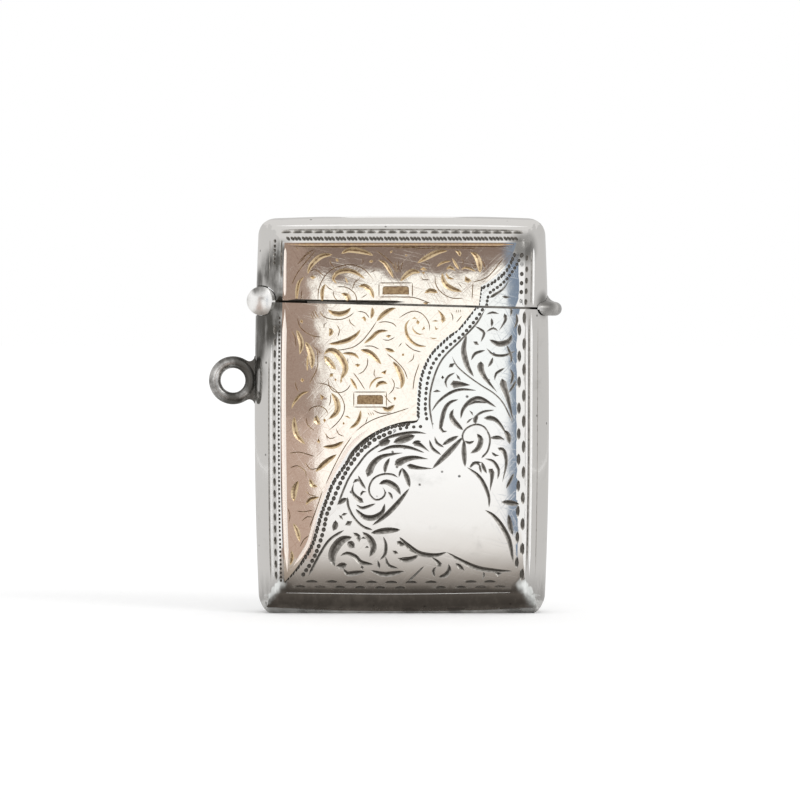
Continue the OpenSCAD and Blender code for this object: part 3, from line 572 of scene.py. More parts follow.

# Stained and shaded places of the silver: the middle, the radius of full darkness and its reach, in
# metres. Mottled stains, even painted shades with their strength, near black mottled darkening, the
# end cap's painted shades, and the heights between which the painted shade at the foot ends.
STAINS = (
    ((-0.0163, -0.003, 0.0335), 0.0018, 0.0042), ((-0.0168, -0.0015, 0.0272), 0.0008, 0.003),
    ((-0.0141, -0.0048, 0.0385), 0.0008, 0.0024), ((-0.0140, -0.0048, 0.0412), 0.0008, 0.0024),
    ((-0.0167, -0.0018, 0.0384), 0.0007, 0.0024), ((-0.0152, -0.0040, 0.0396), 0.0010, 0.0030),
)
# Painted shade: even darkening of the silver where shade and darker reflections fall, at the lower left
# corner, the upper right corner, the thumb piece's root, under the hinge's end cap and beside the mouth.
PAINTED_SHADE_SPOTS = (
    ((-0.0130, -0.0048, 0.0026), 0.0006, 0.0030, 0.4), ((0.0141, -0.0048, 0.0422), 0.0008, 0.0026, 0.85),
    ((0.0165, -0.0024, 0.0357), 0.0006, 0.0020, 0.8), ((-0.0166, -0.0020, 0.0340), 0.0012, 0.0028, 0.9),
    ((-0.0167, -0.0018, 0.0304), 0.0007, 0.0020, 0.7), ((-0.0140, -0.0047, 0.0360), 0.0005, 0.0017, 0.9),
)
# Near black, mottled darkening below the hinge's end cap and beside the mouth's left end.
HINGE_DARKENING = (
    ((-0.0153, -0.0037, 0.0342), 0.0018, 0.0038), ((-0.0166, -0.0020, 0.0303), 0.0008, 0.0024),
    ((-0.0143, -0.0046, 0.0360), 0.0006, 0.0018),
)
# Painted shade on the hinge's end cap: darker bands at its upper edge, below the gap round the barrel, and at
# its lower edge.
CAP_PAINTED_SHADES = (((-0.0166, -0.0042, 0.0377), 0.0006, 0.0013), ((-0.0162, -0.0044, 0.0344), 0.0004, 0.0009))
# Painted shade: the silver darkens towards the foot.
FOOT_SHADE_HEIGHTS = (1.4 * MM, 5.6 * MM)

# Polishing scratches: direction in the front's plane and scale, how they are drawn out, and the range
# of the noise over which they appear.
SCRATCHES = ((0.5, 6500), (-0.8, 5500), (1.35, 7500))
SCRATCH_STRETCH = (1, 1, 0.025)
SCRATCH_RANGE = (0.60, 0.72)

# The lamp's place and spread, the camera's sensor in mm and nearest sight, and half the floor's side
# with the number of its cells.
KEY_PLACE = (0.42, -0.34, 0.32)
KEY_SPREAD = math.radians(26)
SENSOR = 36
CLIP_START = 10 * MM
FLOOR_HALF = 6
FLOOR_CELLS = 8

# The reflection cards, in metres. Distance before the case of the wall, the strip at the right and the
# near edge of the floor cards, the wall's full height, the rise of the floor cards, the distance at
# which they start, the white ones' colour, the tints of the grey and the warm ones, and how much
# lighter the left floor card is than the wall.
CARD_WALL = 0.9
CARD_STRIP = 0.12
CARD_NEAR = 0.06
CARD_TOP = 0.24
CARD_RISE = 0.00012
CARD_FOOT = 0.003
CARD_WHITE = (0.97, 1.0, 1.0, 1)
GREY_TINT = (1, 0.985, 0.97)
WARM_TINT = (1, 0.78, 0.68)
LEFT_FLOOR_LIGHTER = 1.45

# Places on the face that mirror the front card's left and right edge.
FRONT_LEFT = -0.0098
FRONT_RIGHT = 0.0125

# The wall's outline: the left edge as (x, z), with its step at the mouth, the upper edge's two heights
# with the place where it starts to rise, and the outer ends at the left and right.
WALL_LEFT = ((-0.0503, 0.031), (-0.0493, 0.079), (-0.0614, 0.079), (-0.0614, 0.096))
WALL_BEND = (0.050, 0.096)
WALL_RISEN = 0.112
WALL_END_LEFT = -0.17
WALL_END_RIGHT = 0.13
FLOOR_END_LEFT = -0.04

# The strip at the right as (x on the face, z), and its floor as (x on the face, distance).
STRIP = ((0.0119, 0), (0.0119, 0.0414), (0.0118, 0.0414), (0.0118, 0.066), (0.0175, 0.066),
         (0.0175, 0.0414), (0.0160, 0.0414), (0.0160, 0))
STRIP_FLOOR = ((0.0119, CARD_STRIP), (0.0160, CARD_STRIP), (0.0150, CARD_NEAR), (0.0140, CARD_NEAR))

# The front floor card's half width, its brightness at distances before the case, how much warmer its
# dark places are, and where it is even again: beside the case, from its middle, and close to it. Its
# dark band close to the case is painted shade: the shaded floor that the bottom bevel mirrors.
FRONT_FLOOR_HALF = 0.04
FRONT_FADE = ((0.0030, 0.22), (0.0037, 0.09), (0.0045, 0.035), (0.0056, 0.05), (0.0064, 0.10),
              (0.0071, 0.14), (0.012, 0.07), (0.028, 0.16), (0.044, 0.33), (0.079, 0.76), (0.122, 0.92),
              (0.3, 1.0))
FADE_WARMTH = 0.15
BESIDE_MIDDLE = 0.0012
BESIDE = (0.0152, 0.0215)
CLOSE = (-0.03, -0.012)

# The box of side, back and ceiling cards: half width, front and back ends, height, the ceiling's front
# end, the walls' rise over the floor, and the share of the half width that the back leaves open.
BOX_HALF = 0.35
BOX_FRONT = -0.36
BOX_BACK = 0.6
BOX_TOP = 0.5
CEILING_FRONT = -0.62
BOX_RISE = 0.001
BOX_OPEN = 1 / 17


# Settings that several properties share.
COLOUR = dict(subtype="COLOR", size=4, min=0, max=1)
SHARE = dict(subtype="FACTOR", min=0, max=1)


class CaseSilver(bpy.types.PropertyGroup):
    """Silver of the shells and fittings"""

    colour: FloatVectorProperty(name="Silver", description="Polished silver",
                                default=(0.88, 0.87, 0.85, 1), **COLOUR)
    # Near black colour of the mottled darkening below the hinge's end cap and beside the mouth.
    soot: FloatVectorProperty(name="Soot", description="Dirt that gathers beside the hinge",
                              default=(0.11, 0.105, 0.095, 1), **COLOUR)
    tarnish: FloatVectorProperty(name="Tarnish", description="Grey film in sheltered places",
                                 default=(0.12, 0.115, 0.105, 1), **COLOUR)
    cut: FloatVectorProperty(name="Cut", description="Upper walls of the engraved cuts",
                             default=(0.44, 0.42, 0.39, 1), **COLOUR)
    cut_deep: FloatVectorProperty(name="Cut bottom", description="Oxide at the bottom of the cuts",
                                  default=(0.15, 0.14, 0.125, 1), **COLOUR)
    # Colour of the painted highlight lines along the border's creases.
    line: FloatVectorProperty(name="Line", description="Scraped bright lines of the border",
                              default=(0.97, 0.96, 0.95, 1), **COLOUR)
    inside: FloatVectorProperty(name="Inside", description="Dull silver inside the case",
                                default=(0.50, 0.475, 0.44, 1), **COLOUR)
    roughness: FloatProperty(name="Roughness", description="Roughness of the worn polish", default=0.045,
                             **SHARE)


class CaseGold(bpy.types.PropertyGroup):
    """Rose gold of the front panels"""

    colour: FloatVectorProperty(name="Rose gold", description="Worn polished face",
                                default=(1.0, 0.93, 0.84, 1), **COLOUR)
    shade: FloatVectorProperty(name="Stain", description="Darker stains of the face",
                               default=(0.66, 0.48, 0.38, 1), **COLOUR)
    cut: FloatVectorProperty(name="Cut", description="Bright walls of the engraved cuts",
                             default=(0.84, 0.66, 0.42, 1), **COLOUR)
    cut_deep: FloatVectorProperty(name="Cut bottom", description="Brown at the bottom of the cuts",
                                  default=(0.24, 0.145, 0.08, 1), **COLOUR)
    field: FloatVectorProperty(name="Field", description="Floor of the sunk fields",
                               default=(0.52, 0.38, 0.22, 1), **COLOUR)
    # Pale colour of the panels' rims: a painted highlight of their rounded edges.
    rim: FloatVectorProperty(name="Rim", description="Pale filed rim of the panels",
                             default=(0.99, 0.88, 0.82, 1), **COLOUR)
    roughness: FloatProperty(name="Roughness", description="Roughness of the worn polish", default=0.035,
                             **SHARE)
    # Width of the band of painted rim highlight at the body's left.
    rim_width: FloatProperty(name="Rim width", description="Width of the filed rim at the body's left",
                             unit="LENGTH", min=0.0001, max=0.001, default=0.0005)


class CaseFittings(bpy.types.PropertyGroup):
    """Steel of the spring, rivets and pin, and the painted shade in the mouth's gap"""

    steel: FloatVectorProperty(name="Steel", description="Drawn spring steel",
                               default=(0.40, 0.41, 0.43, 1), **COLOUR)
    steel_film: FloatVectorProperty(name="Steel film", description="Brown film on the steel",
                                    default=(0.20, 0.17, 0.14, 1), **COLOUR)
    # Near black colour and paler grain of the painted shade in the mouth's gap.
    dirt: FloatVectorProperty(name="Dirt", description="Black dirt in the mouth",
                              default=(0.012, 0.010, 0.008, 1), **COLOUR)
    painted_gap_shade_grain: FloatVectorProperty(name="Dust", description="Paler grains of the dirt",
                              default=(0.05, 0.042, 0.032, 1), **COLOUR)


class CaseEngraving(bpy.types.PropertyGroup):
    """Graver's cuts and punch marks"""

    slope: FloatProperty(name="Slope", description="Slope of the cut's walls", subtype="ANGLE", min=0.2,
                         max=1.2, default=math.radians(34))
    deepest: FloatProperty(name="Deepest", description="Greatest depth of a cut", unit="LENGTH",
                           min=0.00002, max=0.0003, default=0.00015)
    hairline: FloatProperty(name="Hairline", description="Width of the thin lines", unit="LENGTH",
                            min=0.00002, max=0.0003, default=0.00011)
    step: FloatProperty(name="Step", description="Distance between two sections of a cut", unit="LENGTH",
                        min=0.0001, max=0.001, default=0.00032)
    broaden: FloatProperty(name="Silver strokes", min=0.5, max=2, default=1.4,
                           description="Width of the silver's strokes against the drawing")
    broaden_gold: FloatProperty(name="Gold strokes", min=0.5, max=2, default=1.65,
                                description="Width of the gold's strokes against the drawing")
    bead_sides: IntProperty(name="Punch sides", description="Corners of a punch mark", min=5, max=12,
                            default=8)


class CaseStage(bpy.types.PropertyGroup):
    """Floor, light, reflection cards and camera"""

    distance: FloatProperty(name="Distance", description="Camera to front face", unit="LENGTH",
                            default=VIEW_DISTANCE)
    elevation: FloatProperty(name="Elevation", description="Camera above the horizon", subtype="ANGLE",
                             default=math.radians(1))
    fill: FloatProperty(name="Fill", description="Light of the room on matt surfaces", min=0, max=2,
                        default=0.95)
    key_strength: FloatProperty(name="Key light", description="Strength of the soft lamp", min=0, max=5,
                                default=0.6)
    floor: FloatVectorProperty(name="Floor", description="White paper of the floor",
                               default=(0.93, 0.93, 0.93, 1), **COLOUR)
    floor_pale: FloatVectorProperty(name="Floor grain", description="Paler grain of the paper",
                                    default=(0.95, 0.95, 0.95, 1), **COLOUR)
    floor_glow: FloatProperty(name="Floor white", description="White added to the floor for the camera",
                              default=0.085, **SHARE)
    front_light: FloatProperty(name="Front panel", min=0, max=2, default=1.1,
                               description="Brightness of the panel the front mirrors")
    side_left: FloatProperty(name="Left side", description="Grey of the card at the case's left",
                             default=0.64, **SHARE)
    side_right: FloatProperty(name="Right side", description="Grey of the card at the case's right",
                              default=0.60, **SHARE)
    left_grey: FloatProperty(name="Left card", description="Grey seen at the gold's left", default=0.34,
                             **SHARE)
    top_grey: FloatProperty(name="Top card", description="Grey seen at the lid's top", default=0.22,
                            **SHARE)
    ceiling: FloatProperty(name="Ceiling", description="Grey of the card over the case", default=0.74,
                           **SHARE)
    right_blue: FloatVectorProperty(name="Right card", description="Blue grey seen at the right",
                                    default=(0.22, 0.28, 0.37, 1), **COLOUR)


def on_face(px, py):
    """Place on the front of a pixel of the drawing, as (x, z) in metres."""
    return Vector(((VIEW_MIDDLE_PX - MIDDLE_PX) * PX + (px - VIEW_MIDDLE_PX) * FACE_PX,
                   (FLOOR_PX - VIEW_MIDDLE_PX) * PX - (py - VIEW_MIDDLE_PX) * FACE_PX))


def pairs(numbers):
    """Points from a flat list of x and y."""
    return list(zip(numbers[0::2], numbers[1::2]))


def on_path(path):
    """Places on the front of a pixel path."""
    return [on_face(*p) for p in pairs(path)]


def curve_through(points, step):
    """Smooth curve through points, with sections about step apart."""
    ends = [points[0] * 2 - points[1]] + points + [points[-1] * 2 - points[-2]]
    curve = []
    for a, b, c, d in zip(ends, ends[1:], ends[2:], ends[3:]):
        count = max(1, round((c - b).length / step))
        for i in range(count):
            t = i / count
            curve.append((b * 2 + (c - a) * t + (a * 2 - b * 5 + c * 4 - d) * t * t
                          + (b * 3 - a - c * 3 + d) * t * t * t) / 2)
    return curve + [points[-1]]


def taper(shape, t):
    """Share of a cut's full width at t along it."""
    if shape == "leaf":
        return math.sin(math.pi * t) ** LEAF_SWELL
    if shape == "tail":
        t = 1 - t
    if shape in ("head", "tail"):
        return min(1, t / HEAD_RISE) ** HEAD_SWELL * (1 - t) ** HEAD_TAPER
    return min(1, t / LINE_RISE, (1 - t) / LINE_RISE)


def sweep(bm, rings):
    """A closed strip through rings of corners, grown from its first end."""
    face = bm.faces.new([bm.verts.new(co) for co in rings[0]])
    for k, ring in enumerate(rings[1:]):
        behind = face
        grown = bmesh.ops.extrude_face_region(bm, geom=[behind])["geom"]
        face = next(g for g in grown if isinstance(g, bmesh.types.BMFace))
        if k:
            bm.faces.remove(behind)
        for vert, co in zip(face.verts, ring):
            vert.co = co


class Graver:
    """Cuts and punch marks of one face, as cutters sorted in sets that don't overlap."""

    def __init__(self, tree, look, back=False):
        self.tree = tree
        self.look = look
        self.side = 1 if back else -1
        self.sets = []

    def mesh_for(self, points, margin):
        """The first mesh in which a cutter through these points touches no other."""
        low = [min(p[i] for p in points) - margin for i in (0, 1)]
        high = [max(p[i] for p in points) + margin for i in (0, 1)]
        for bm, boxes in self.sets:
            if all(b[2] < low[0] or b[0] > high[0] or b[3] < low[1] or b[1] > high[1] for b in boxes):
                boxes.append((*low, *high))
                return bm
        self.sets.append((bmesh.new(), [(*low, *high)]))
        return self.sets[-1][0]

    def drop(self, x, z):
        """Point and outward normal of the face over (x, z), or of the crowned ball where it has none."""
        start, way = Vector((x, self.side * RAY_START, z)), Vector((0, -self.side, 0))
        hit, normal = self.tree.ray_cast(start, way)[:2]
        if hit is not None and normal.y * self.side > RAY_FACING:
            return hit, normal
        depth = math.sqrt(CROWN_R ** 2 - x ** 2 - (z - CROWN_Z) ** 2)
        out = Vector((x, self.side * depth, z - CROWN_Z)) / CROWN_R
        return Vector((x, self.side * (depth - CROWN_Y), z)), out.normalized()

    def cut(self, shape, width, points):
        """One V-shaped cut that follows points on the face."""
        curve = curve_through(points, self.look.step)
        last = len(curve) - 1
        rings = []
        for i, p in enumerate(curve):
            ahead = curve[min(i + 1, last)] - curve[max(i - 1, 0)]
            place, normal = self.drop(p.x, p.y)
            side = Vector((ahead.x, 0, ahead.y)).cross(normal).normalized()
            half = max(width / 2 * taper(shape, i / last), LEAST_HALF)
            deep = min(half * math.tan(self.look.slope), self.look.deepest)
            half *= 1 + LIFT / deep
            rings.append((place + side * half + normal * LIFT, place - normal * deep,
                          place - side * half + normal * LIFT))
        sweep(self.mesh_for(curve, width), rings)

    def punch(self, p, along, length, width, arch):
        """One punch mark with slanting walls, oval or with a straight foot."""
        place, normal = self.drop(p.x, p.y)
        run = Vector((along.x, 0, along.y))
        run = (run - normal * run.dot(normal)).normalized()
        turn = Matrix((run, normal.cross(run), normal)).transposed().to_4x4()
        turn.translation = place
        bm = self.mesh_for([p], max(length, width) * PUNCH_ROOM)
        cone = bmesh.ops.create_cone(bm, cap_ends=True, segments=self.look.bead_sides, depth=1,
                                     radius1=PUNCH_FLOOR, radius2=PUNCH_MOUTH)
        for vert in cone["verts"]:
            x, y, z = vert.co
            if arch and y < 0:
                y *= ARCH_FOOT
            vert.co = turn @ Vector((x * length, y * width, z * PUNCH_TALL - PUNCH_SUNK))

    def row(self, path, count, length, width, tilt=0.0, arch=False):
        """A row of punch marks, evenly spread along a pixel path."""
        curve = curve_through(on_path(path), ROW_STEP)
        runs = [0.0]
        for a, b in zip(curve, curve[1:]):
            runs.append(runs[-1] + (b - a).length)
        turn = Matrix.Rotation(tilt, 2)
        for i in range(count):
            want = runs[-1] * i / (count - 1)
            k = next(j for j, run in enumerate(runs) if run >= want - ROW_SLACK)
            ahead = curve[min(k + 1, len(curve) - 1)] - curve[max(k - 1, 0)]
            self.punch(curve[k], turn @ ahead, length, width, arch)

    def line(self, path, width, shape="line"):
        """A cut along a pixel path."""
        self.cut(shape, width, on_path(path))

    def marks(self, table):
        """The rows and lines of a border, in the table's order."""
        for kind, path, *sizes in table:
            if kind in ("row", "arch"):
                count, length, width, *tilt = sizes
                self.row(path, count, length * MM, width * MM, *tilt, arch=kind == "arch")
            else:
                self.line(path, sizes[0] * MM, kind)

    def drawing(self, drawing, broaden, hairs=None):
        """The cuts of one enlarged drawing, and its thin lines for another graver."""
        (left, top), zoom = drawing["corner"], drawing["zoom"]

        def placed(numbers):
            return [on_face(left + x / zoom, top + y / zoom) for x, y in pairs(numbers)]

        for shape, width, *numbers in drawing["cuts"]:
            self.cut(shape, width / zoom * PX * broaden, placed(numbers))
        for numbers in drawing.get("lines", ()):
            hairs.cut("line", self.look.hairline, placed(numbers))

    def field(self, pixels):
        """A sunk field: a shallow oblong with slanting walls."""
        low, high = on_face(pixels[0], pixels[3]), on_face(pixels[2], pixels[1])
        middle, size = (low + high) / 2, high - low
        place, normal = self.drop(middle.x, middle.y)
        bm = self.mesh_for([low, high], FIELD_ROOM)
        cube = bmesh.ops.create_cube(bm, size=1)
        for vert in cube["verts"]:
            x, y, z = vert.co
            spread = FIELD_TOP if z > 0 else FIELD_FLOOR
            vert.co = (place + Vector((x * size.x * spread, 0, y * size.y * spread))
                       + normal * (z * FIELD_TALL + FIELD_RISE))
        edges = [e for e in {e for v in cube["verts"] for e in v.link_edges}
                 if abs((e.verts[0].co - e.verts[1].co).dot(normal)) > FIELD_TALL / 2]
        bmesh.ops.bevel(bm, geom=edges, offset=FIELD_CORNER, segments=3, affect="EDGES", profile=0.5,
                        material=-1)

    def frame(self, pixels):
        """A fine line round a sunk field."""
        left, top, right, bottom = pixels
        for path in ((left, top, right, top), (left, bottom, right, bottom), (left, top, left, bottom),
                     (right, top, right, bottom)):
            self.line(path, self.look.hairline)


def face_tree(node):
    """Search tree of a CAD node's triangles."""
    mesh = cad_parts[node].data
    return BVHTree.FromPolygons([v.co for v in mesh.vertices], [p.vertices for p in mesh.polygons])


def border_planes(node):
    """Planes that slice a shell's border, as (axis, place)."""
    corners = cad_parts[node].data.vertices
    xs, zs = [v.co.x for v in corners], [v.co.z for v in corners]
    foot = (2, max(zs), -1) if node.startswith("lid") else (2, min(zs), 1)
    return [(axis, end + side * BORDER_STEP * (k + 1))
            for axis, end, side in ((0, min(xs), 1), (0, max(xs), -1), foot) for k in range(BORDER_SLICES)]


def new_object(name, bm, *materials):
    """An object from a finished bmesh, in the scene."""
    mesh = bpy.data.meshes.new(name)
    bm.to_mesh(mesh)
    bm.free()
    for material in materials:
        mesh.materials.append(material)
    piece = bpy.data.objects.new(name, mesh)
    bpy.context.scene.collection.objects.link(piece)
    return piece


def merged_copy(node, name, material, planes=()):
    """A closed copy of a CAD node's mesh, as a new piece, sliced by planes."""
    bm = bmesh.new()
    bm.from_mesh(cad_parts[node].data)
    bmesh.ops.remove_doubles(bm, verts=bm.verts, dist=MERGE)
    for axis, place in planes:
        at = Vector([place if i == axis else 0.0 for i in range(3)])
        bmesh.ops.bisect_plane(bm, geom=[*bm.verts, *bm.edges, *bm.faces], dist=SLIVER, plane_co=at,
                               plane_no=[float(i == axis) for i in range(3)])
    for face in bm.faces:
        face.material_index = 0
    piece = new_object(name, bm, material)
    attributes = piece.data.attributes
    if "custom_normal" in attributes:
        attributes.remove(attributes["custom_normal"])
    return piece


def cut_piece(piece, graver, material):
    """Cuts every set of cutters out of the piece. The cut walls take the material."""
    for bm, _ in graver.sets:
        bmesh.ops.recalc_face_normals(bm, faces=bm.faces)
        tool = new_object("cutter", bm, material)
        old, tool_mesh = piece.data, tool.data
        change = piece.modifiers.new("cut", "BOOLEAN")
        change.operation = "DIFFERENCE"
        change.solver = "MANIFOLD"
        change.material_mode = "TRANSFER"
        change.object = tool
        ready = piece.evaluated_get(bpy.context.evaluated_depsgraph_get())
        shaped = bpy.data.meshes.new_from_object(ready)
        piece.modifiers.clear()
        same = (len(shaped.polygons), len(shaped.vertices)) == (len(old.polygons), len(old.vertices))
        if same or not shaped.polygons:
            raise RuntimeError(f"{piece.name}: a set of cuts left no mark")
        piece.data = shaped
        shaped.name = piece.name
        bpy.data.meshes.remove(old)
        bpy.data.objects.remove(tool)
        bpy.data.meshes.remove(tool_mesh)


def drop_chips(piece):
    """Keeps the largest island of the mesh: slivers, loose chips and closed hollows of the cuts go."""
    bm = bmesh.new()
    bm.from_mesh(piece.data)
    bmesh.ops.dissolve_degenerate(bm, edges=bm.edges, dist=SLIVER)
    bmesh.ops.triangulate(bm, faces=bm.faces)
    alike = {}
    for face in bm.faces:
        alike.setdefault(frozenset(face.verts), []).append(face)
    twins = [face for faces in alike.values() if len(faces) > 1 for face in faces]
    bmesh.ops.delete(bm, geom=twins, context="FACES")
    left, islands = set(bm.faces), []
    for first in bm.faces:
        if first not in left:
            continue
        left.discard(first)
        island = [first]
        for face in island:
            for near in {g for e in face.edges for g in e.link_faces} & left:
                left.discard(near)
                island.append(near)
        islands.append(island)
    islands.sort(key=len)
    bmesh.ops.delete(bm, geom=[face for island in islands[:-1] for face in island], context="FACES")
    bm.to_mesh(piece.data)
    bm.free()


def weights(p, a, b, c):
    """Shares of a triangle's three corners at the point p."""
    ab, ac, ap = b - a, c - a, p - a
    d00, d01, d11, d20, d21 = ab.dot(ab), ab.dot(ac), ac.dot(ac), ap.dot(ab), ap.dot(ac)
    size = d00 * d11 - d01 * d01
    if abs(size) < FLAT_TRIANGLE:
        return 1, 0, 0
    v = (d11 * d20 - d01 * d21) / size
    w = (d00 * d21 - d01 * d20) / size
    return 1 - v - w, v, w


def finish_surface(piece, node, tree, kept, planes=()):
    """The kept materials' faces take the CAD node's exact normals, and cuts remember their depth.

    Outside the innermost planes, the creases of the border are rounded."""
    drop_chips(piece)
    mesh = piece.data
    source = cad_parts[node].data
    corner = [Vector(n.vector) for n in source.corner_normals]
    depth = mesh.attributes.new("cut_depth", "FLOAT", "POINT")
    depth.data.foreach_set("value", [min(1.0, tree.find_nearest(v.co)[3] / FULL_CUT) for v in mesh.vertices])
    smooth = {i for i, m in enumerate(mesh.materials) if m in kept}
    inner = planes[BORDER_SLICES - 1::BORDER_SLICES]
    known = {}

    def exact(hit, index):
        tri = source.polygons[index]
        shares = weights(hit, *(source.vertices[i].co for i in tri.vertices))
        return sum((corner[k] * s for k, s in zip(tri.loop_indices, shares)), Vector()).normalized()

    def past(co, axes):
        return max(((co[a] - place) * math.copysign(1, place - INSIDE[a]) for a, place in inner if a in axes),
                   default=-1.0)

    def rounded(index, side):
        if index not in known:
            co = mesh.vertices[index].co
            across, along = past(co, (0,)), past(co, (2,))
            reach = BORDER_REACH
            if across > 0 and along > 0:
                reach += MITRE_REACH * max(0.0, 1 - abs(across - along) / MITRE_WIDTH)
            total = Vector()
            for dx, dz in AROUND:
                start = Vector((co.x + dx * reach, side * RAY_START, co.z + dz * reach))
                hit, normal, tri, _ = tree.ray_cast(start, Vector((0, -side, 0)))
                if hit is not None and normal.y * side > RAY_FACING_ROUND:
                    total += exact(hit, tri)
            known[index] = total.normalized()
        return known[index]

    normals = [None] * len(mesh.loops)
    for poly in mesh.polygons:
        poly.use_smooth = True
        for li in poly.loop_indices:
            normals[li] = poly.normal.copy()
        if poly.material_index not in smooth:
            continue
        side = math.copysign(1, poly.normal.y)
        front = poly.normal.y * poly.center.y > 0 and abs(poly.normal.y) > ROUND_FACING
        for li in poly.loop_indices:
            index = mesh.loops[li].vertex_index
            co = mesh.vertices[index].co
            hit, _, tri, gap = tree.find_nearest(co.lerp(poly.center, LOOK_INWARD))
            if hit is None or gap > LOOK_NEAR:
                continue
            n = exact(hit, tri)
            if n.dot(poly.normal) <= LOOK_TURNED:
                continue
            share = min(1.0, max(0.0, (abs(n.y) - ROUND_FROM) / ROUND_SPAN))
            if front and share > 0 and past(co, (0, 2)) > 0:
                n = n.lerp(rounded(index, side), share).normalized()
            normals[li] = n
    mesh.normals_split_custom_set(normals)


def paint_inside(piece, material, side):
    """Gives the faces inside the case their dull material."""
    mesh = piece.data
    mesh.materials.append(material)
    index = len(mesh.materials) - 1
    for poly in mesh.polygons:
        out = Vector((poly.center.x * OUT_X, side * OUT_Y, (poly.center.z - CROWN_Z) * OUT_Z))
        if poly.material_index == 0 and poly.normal.dot(out) < 0:
            poly.material_index = index


def settle(piece, body, node):
    """The piece stands for its CAD node and moves with its body."""
    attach(piece, body)
    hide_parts(node)


class Finish:
    """A procedural material in the making."""

    def __init__(self, name):
        self.material = bpy.data.materials.new(name)
        self.material.use_nodes = True
        self.tree = self.material.node_tree
        self.shader = self.tree.nodes["Principled BSDF"]
        self.coord = self.tree.nodes.new("ShaderNodeTexCoord").outputs["Object"]

    def node(self, kind, **values):
        """A node whose inputs are set or linked by name, and other values set as attributes."""
        new = self.tree.nodes.new("ShaderNode" + kind)
        for key, value in values.items():
            if not key[0].isupper():
                setattr(new, key, value)
        for key, value in values.items():
            if key[0].isupper():
                name = key.replace("_", " ")
                self.put(value, next(s for s in new.inputs if s.name == name and s.enabled))
        return new

    def put(self, value, socket):
        """Links an output to a socket, or sets the socket's value."""
        if isinstance(value, bpy.types.NodeSocket):
            self.tree.links.new(value, socket)
        else:
            socket.default_value = value

    def set(self, **values):
        """Sets or links the shader's own sockets."""
        for key, value in values.items():
            self.put(value, self.shader.inputs[key.replace("_", " ")])

    def noise(self, scale, detail=3.0, stretch=None, turn=None, roughness=0.5):
        """Cloudy noise in object coordinates, turned in the front's plane and stretched where asked."""
        where = self.coord
        if turn:
            where = self.node("Mapping", Vector=where, Rotation=(0, turn, 0)).outputs["Vector"]
        if stretch:
            where = self.node("Mapping", Vector=where, Scale=stretch).outputs["Vector"]
        new = self.node("TexNoise", Vector=where, Scale=scale, Detail=detail, Roughness=roughness)
        return new.outputs["Fac"]

    def span(self, value, low, high, to_low=0.0, to_high=1.0):
        """A value spread smoothly from one range to another."""
        new = self.node("MapRange", interpolation_type="SMOOTHSTEP", Value=value, From_Min=low,
                         From_Max=high, To_Min=to_low, To_Max=to_high)
        return new.outputs["Result"]

    def math(self, operation, *values):
        """One sum of up to three values."""
        new = self.node("Math", operation=operation)
        for value, socket in zip(values, new.inputs):
            self.put(value, socket)
        return new.outputs["Value"]

    def blend(self, share, a, b):
        """A colour between two others."""
        return self.node("Mix", data_type="RGBA", Factor=share, A=a, B=b).outputs[2]

    def near(self, place, full, reach):
        """1 within a full radius of a place of the object, falling to 0 at its reach."""
        gap = self.node("VectorMath", operation="DISTANCE")
        self.put(self.coord, gap.inputs[0])
        gap.inputs[1].default_value = place
        return self.span(gap.outputs["Value"], full, reach, 1.0, 0.0)

    def scratches(self):
        """Fine polishing scratches in three directions."""
        total = None
        for turn, scale in SCRATCHES:
            lines = self.span(self.noise(scale, 2.0, SCRATCH_STRETCH, turn), *SCRATCH_RANGE)
            total = lines if total is None else self.math("MAXIMUM", total, lines)
        return total

    def relief(self, height, depth, under=None):
        """Bump of a height map whose full range is that many metres."""
        new = self.node("Bump", Height=height, Distance=depth, Strength=1.0)
        if under is not None:
            self.put(under, new.inputs["Normal"])
        return new.outputs["Normal"]


def silver_finish(name, look, film_from=0.55, film_most=0.3, rough=0.0, dent=0.016 * MM, stains=STAINS,
                  shades=PAINTED_SHADE_SPOTS, soot=HINGE_DARKENING):
    """Worn polished silver: clouds and places of tarnish, painted shade, pits, dents and fine scratches."""
    f = Finish(name)
    cloud = f.noise(210, 5.0, roughness=0.62)
    streak = f.noise(1500, 4.0, (1, 1, 0.3))
    film = f.span(cloud, film_from, film_from + 0.28, 0.0, film_most)
    mottle = f.span(f.math("ADD", cloud, streak), 0.75, 1.15, 0.45, 0.95)
    # The spots of painted shade darken the film as tarnish does.
    places = [(*stain, mottle) for stain in stains] + list(shades)
    for place, full, reach, most in places:
        film = f.math("MAXIMUM", film, f.math("MULTIPLY", f.near(place, full, reach), most))
    # Painted shade towards the foot.
    foot = f.span(f.node("SeparateXYZ", Vector=f.coord).outputs["Z"], *FOOT_SHADE_HEIGHTS, 0.5, 0.0)
    film = f.math("MAXIMUM", film, f.math("MULTIPLY", foot, mottle))
    cells = f.node("TexVoronoi", Vector=f.coord, Scale=620.0)
    pits = f.math("MULTIPLY", f.span(cells.outputs["Distance"], 0.04, 0.13, 1.0, 0.0),
                  f.span(cells.outputs["Color"], 0.62, 0.66))
    film = f.math("MAXIMUM", film, f.math("MULTIPLY", pits, 0.9))
    scratch = f.scratches()
    base = f.blend(film, look.colour, look.tarnish)
    # Near black, mottled darkening below the end cap and beside the mouth.
    for place, full, reach in soot:
        base = f.blend(f.math("MULTIPLY", f.near(place, full, reach), mottle), base, look.soot)
    f.set(Base_Color=base, Metallic=1.0)
    worn = f.math("MULTIPLY_ADD", film, 0.22, look.roughness + rough)
    f.set(Roughness=f.math("ADD", worn, f.math("MULTIPLY", scratch, 0.04)))
    waves = f.relief(f.noise(170, 2.0), dent)
    marks = f.math("ADD", f.math("MULTIPLY", scratch, -0.06), f.math("MULTIPLY", pits, -1.0))
    f.set(Normal=f.relief(marks, 0.006 * MM, waves))
    return f.material


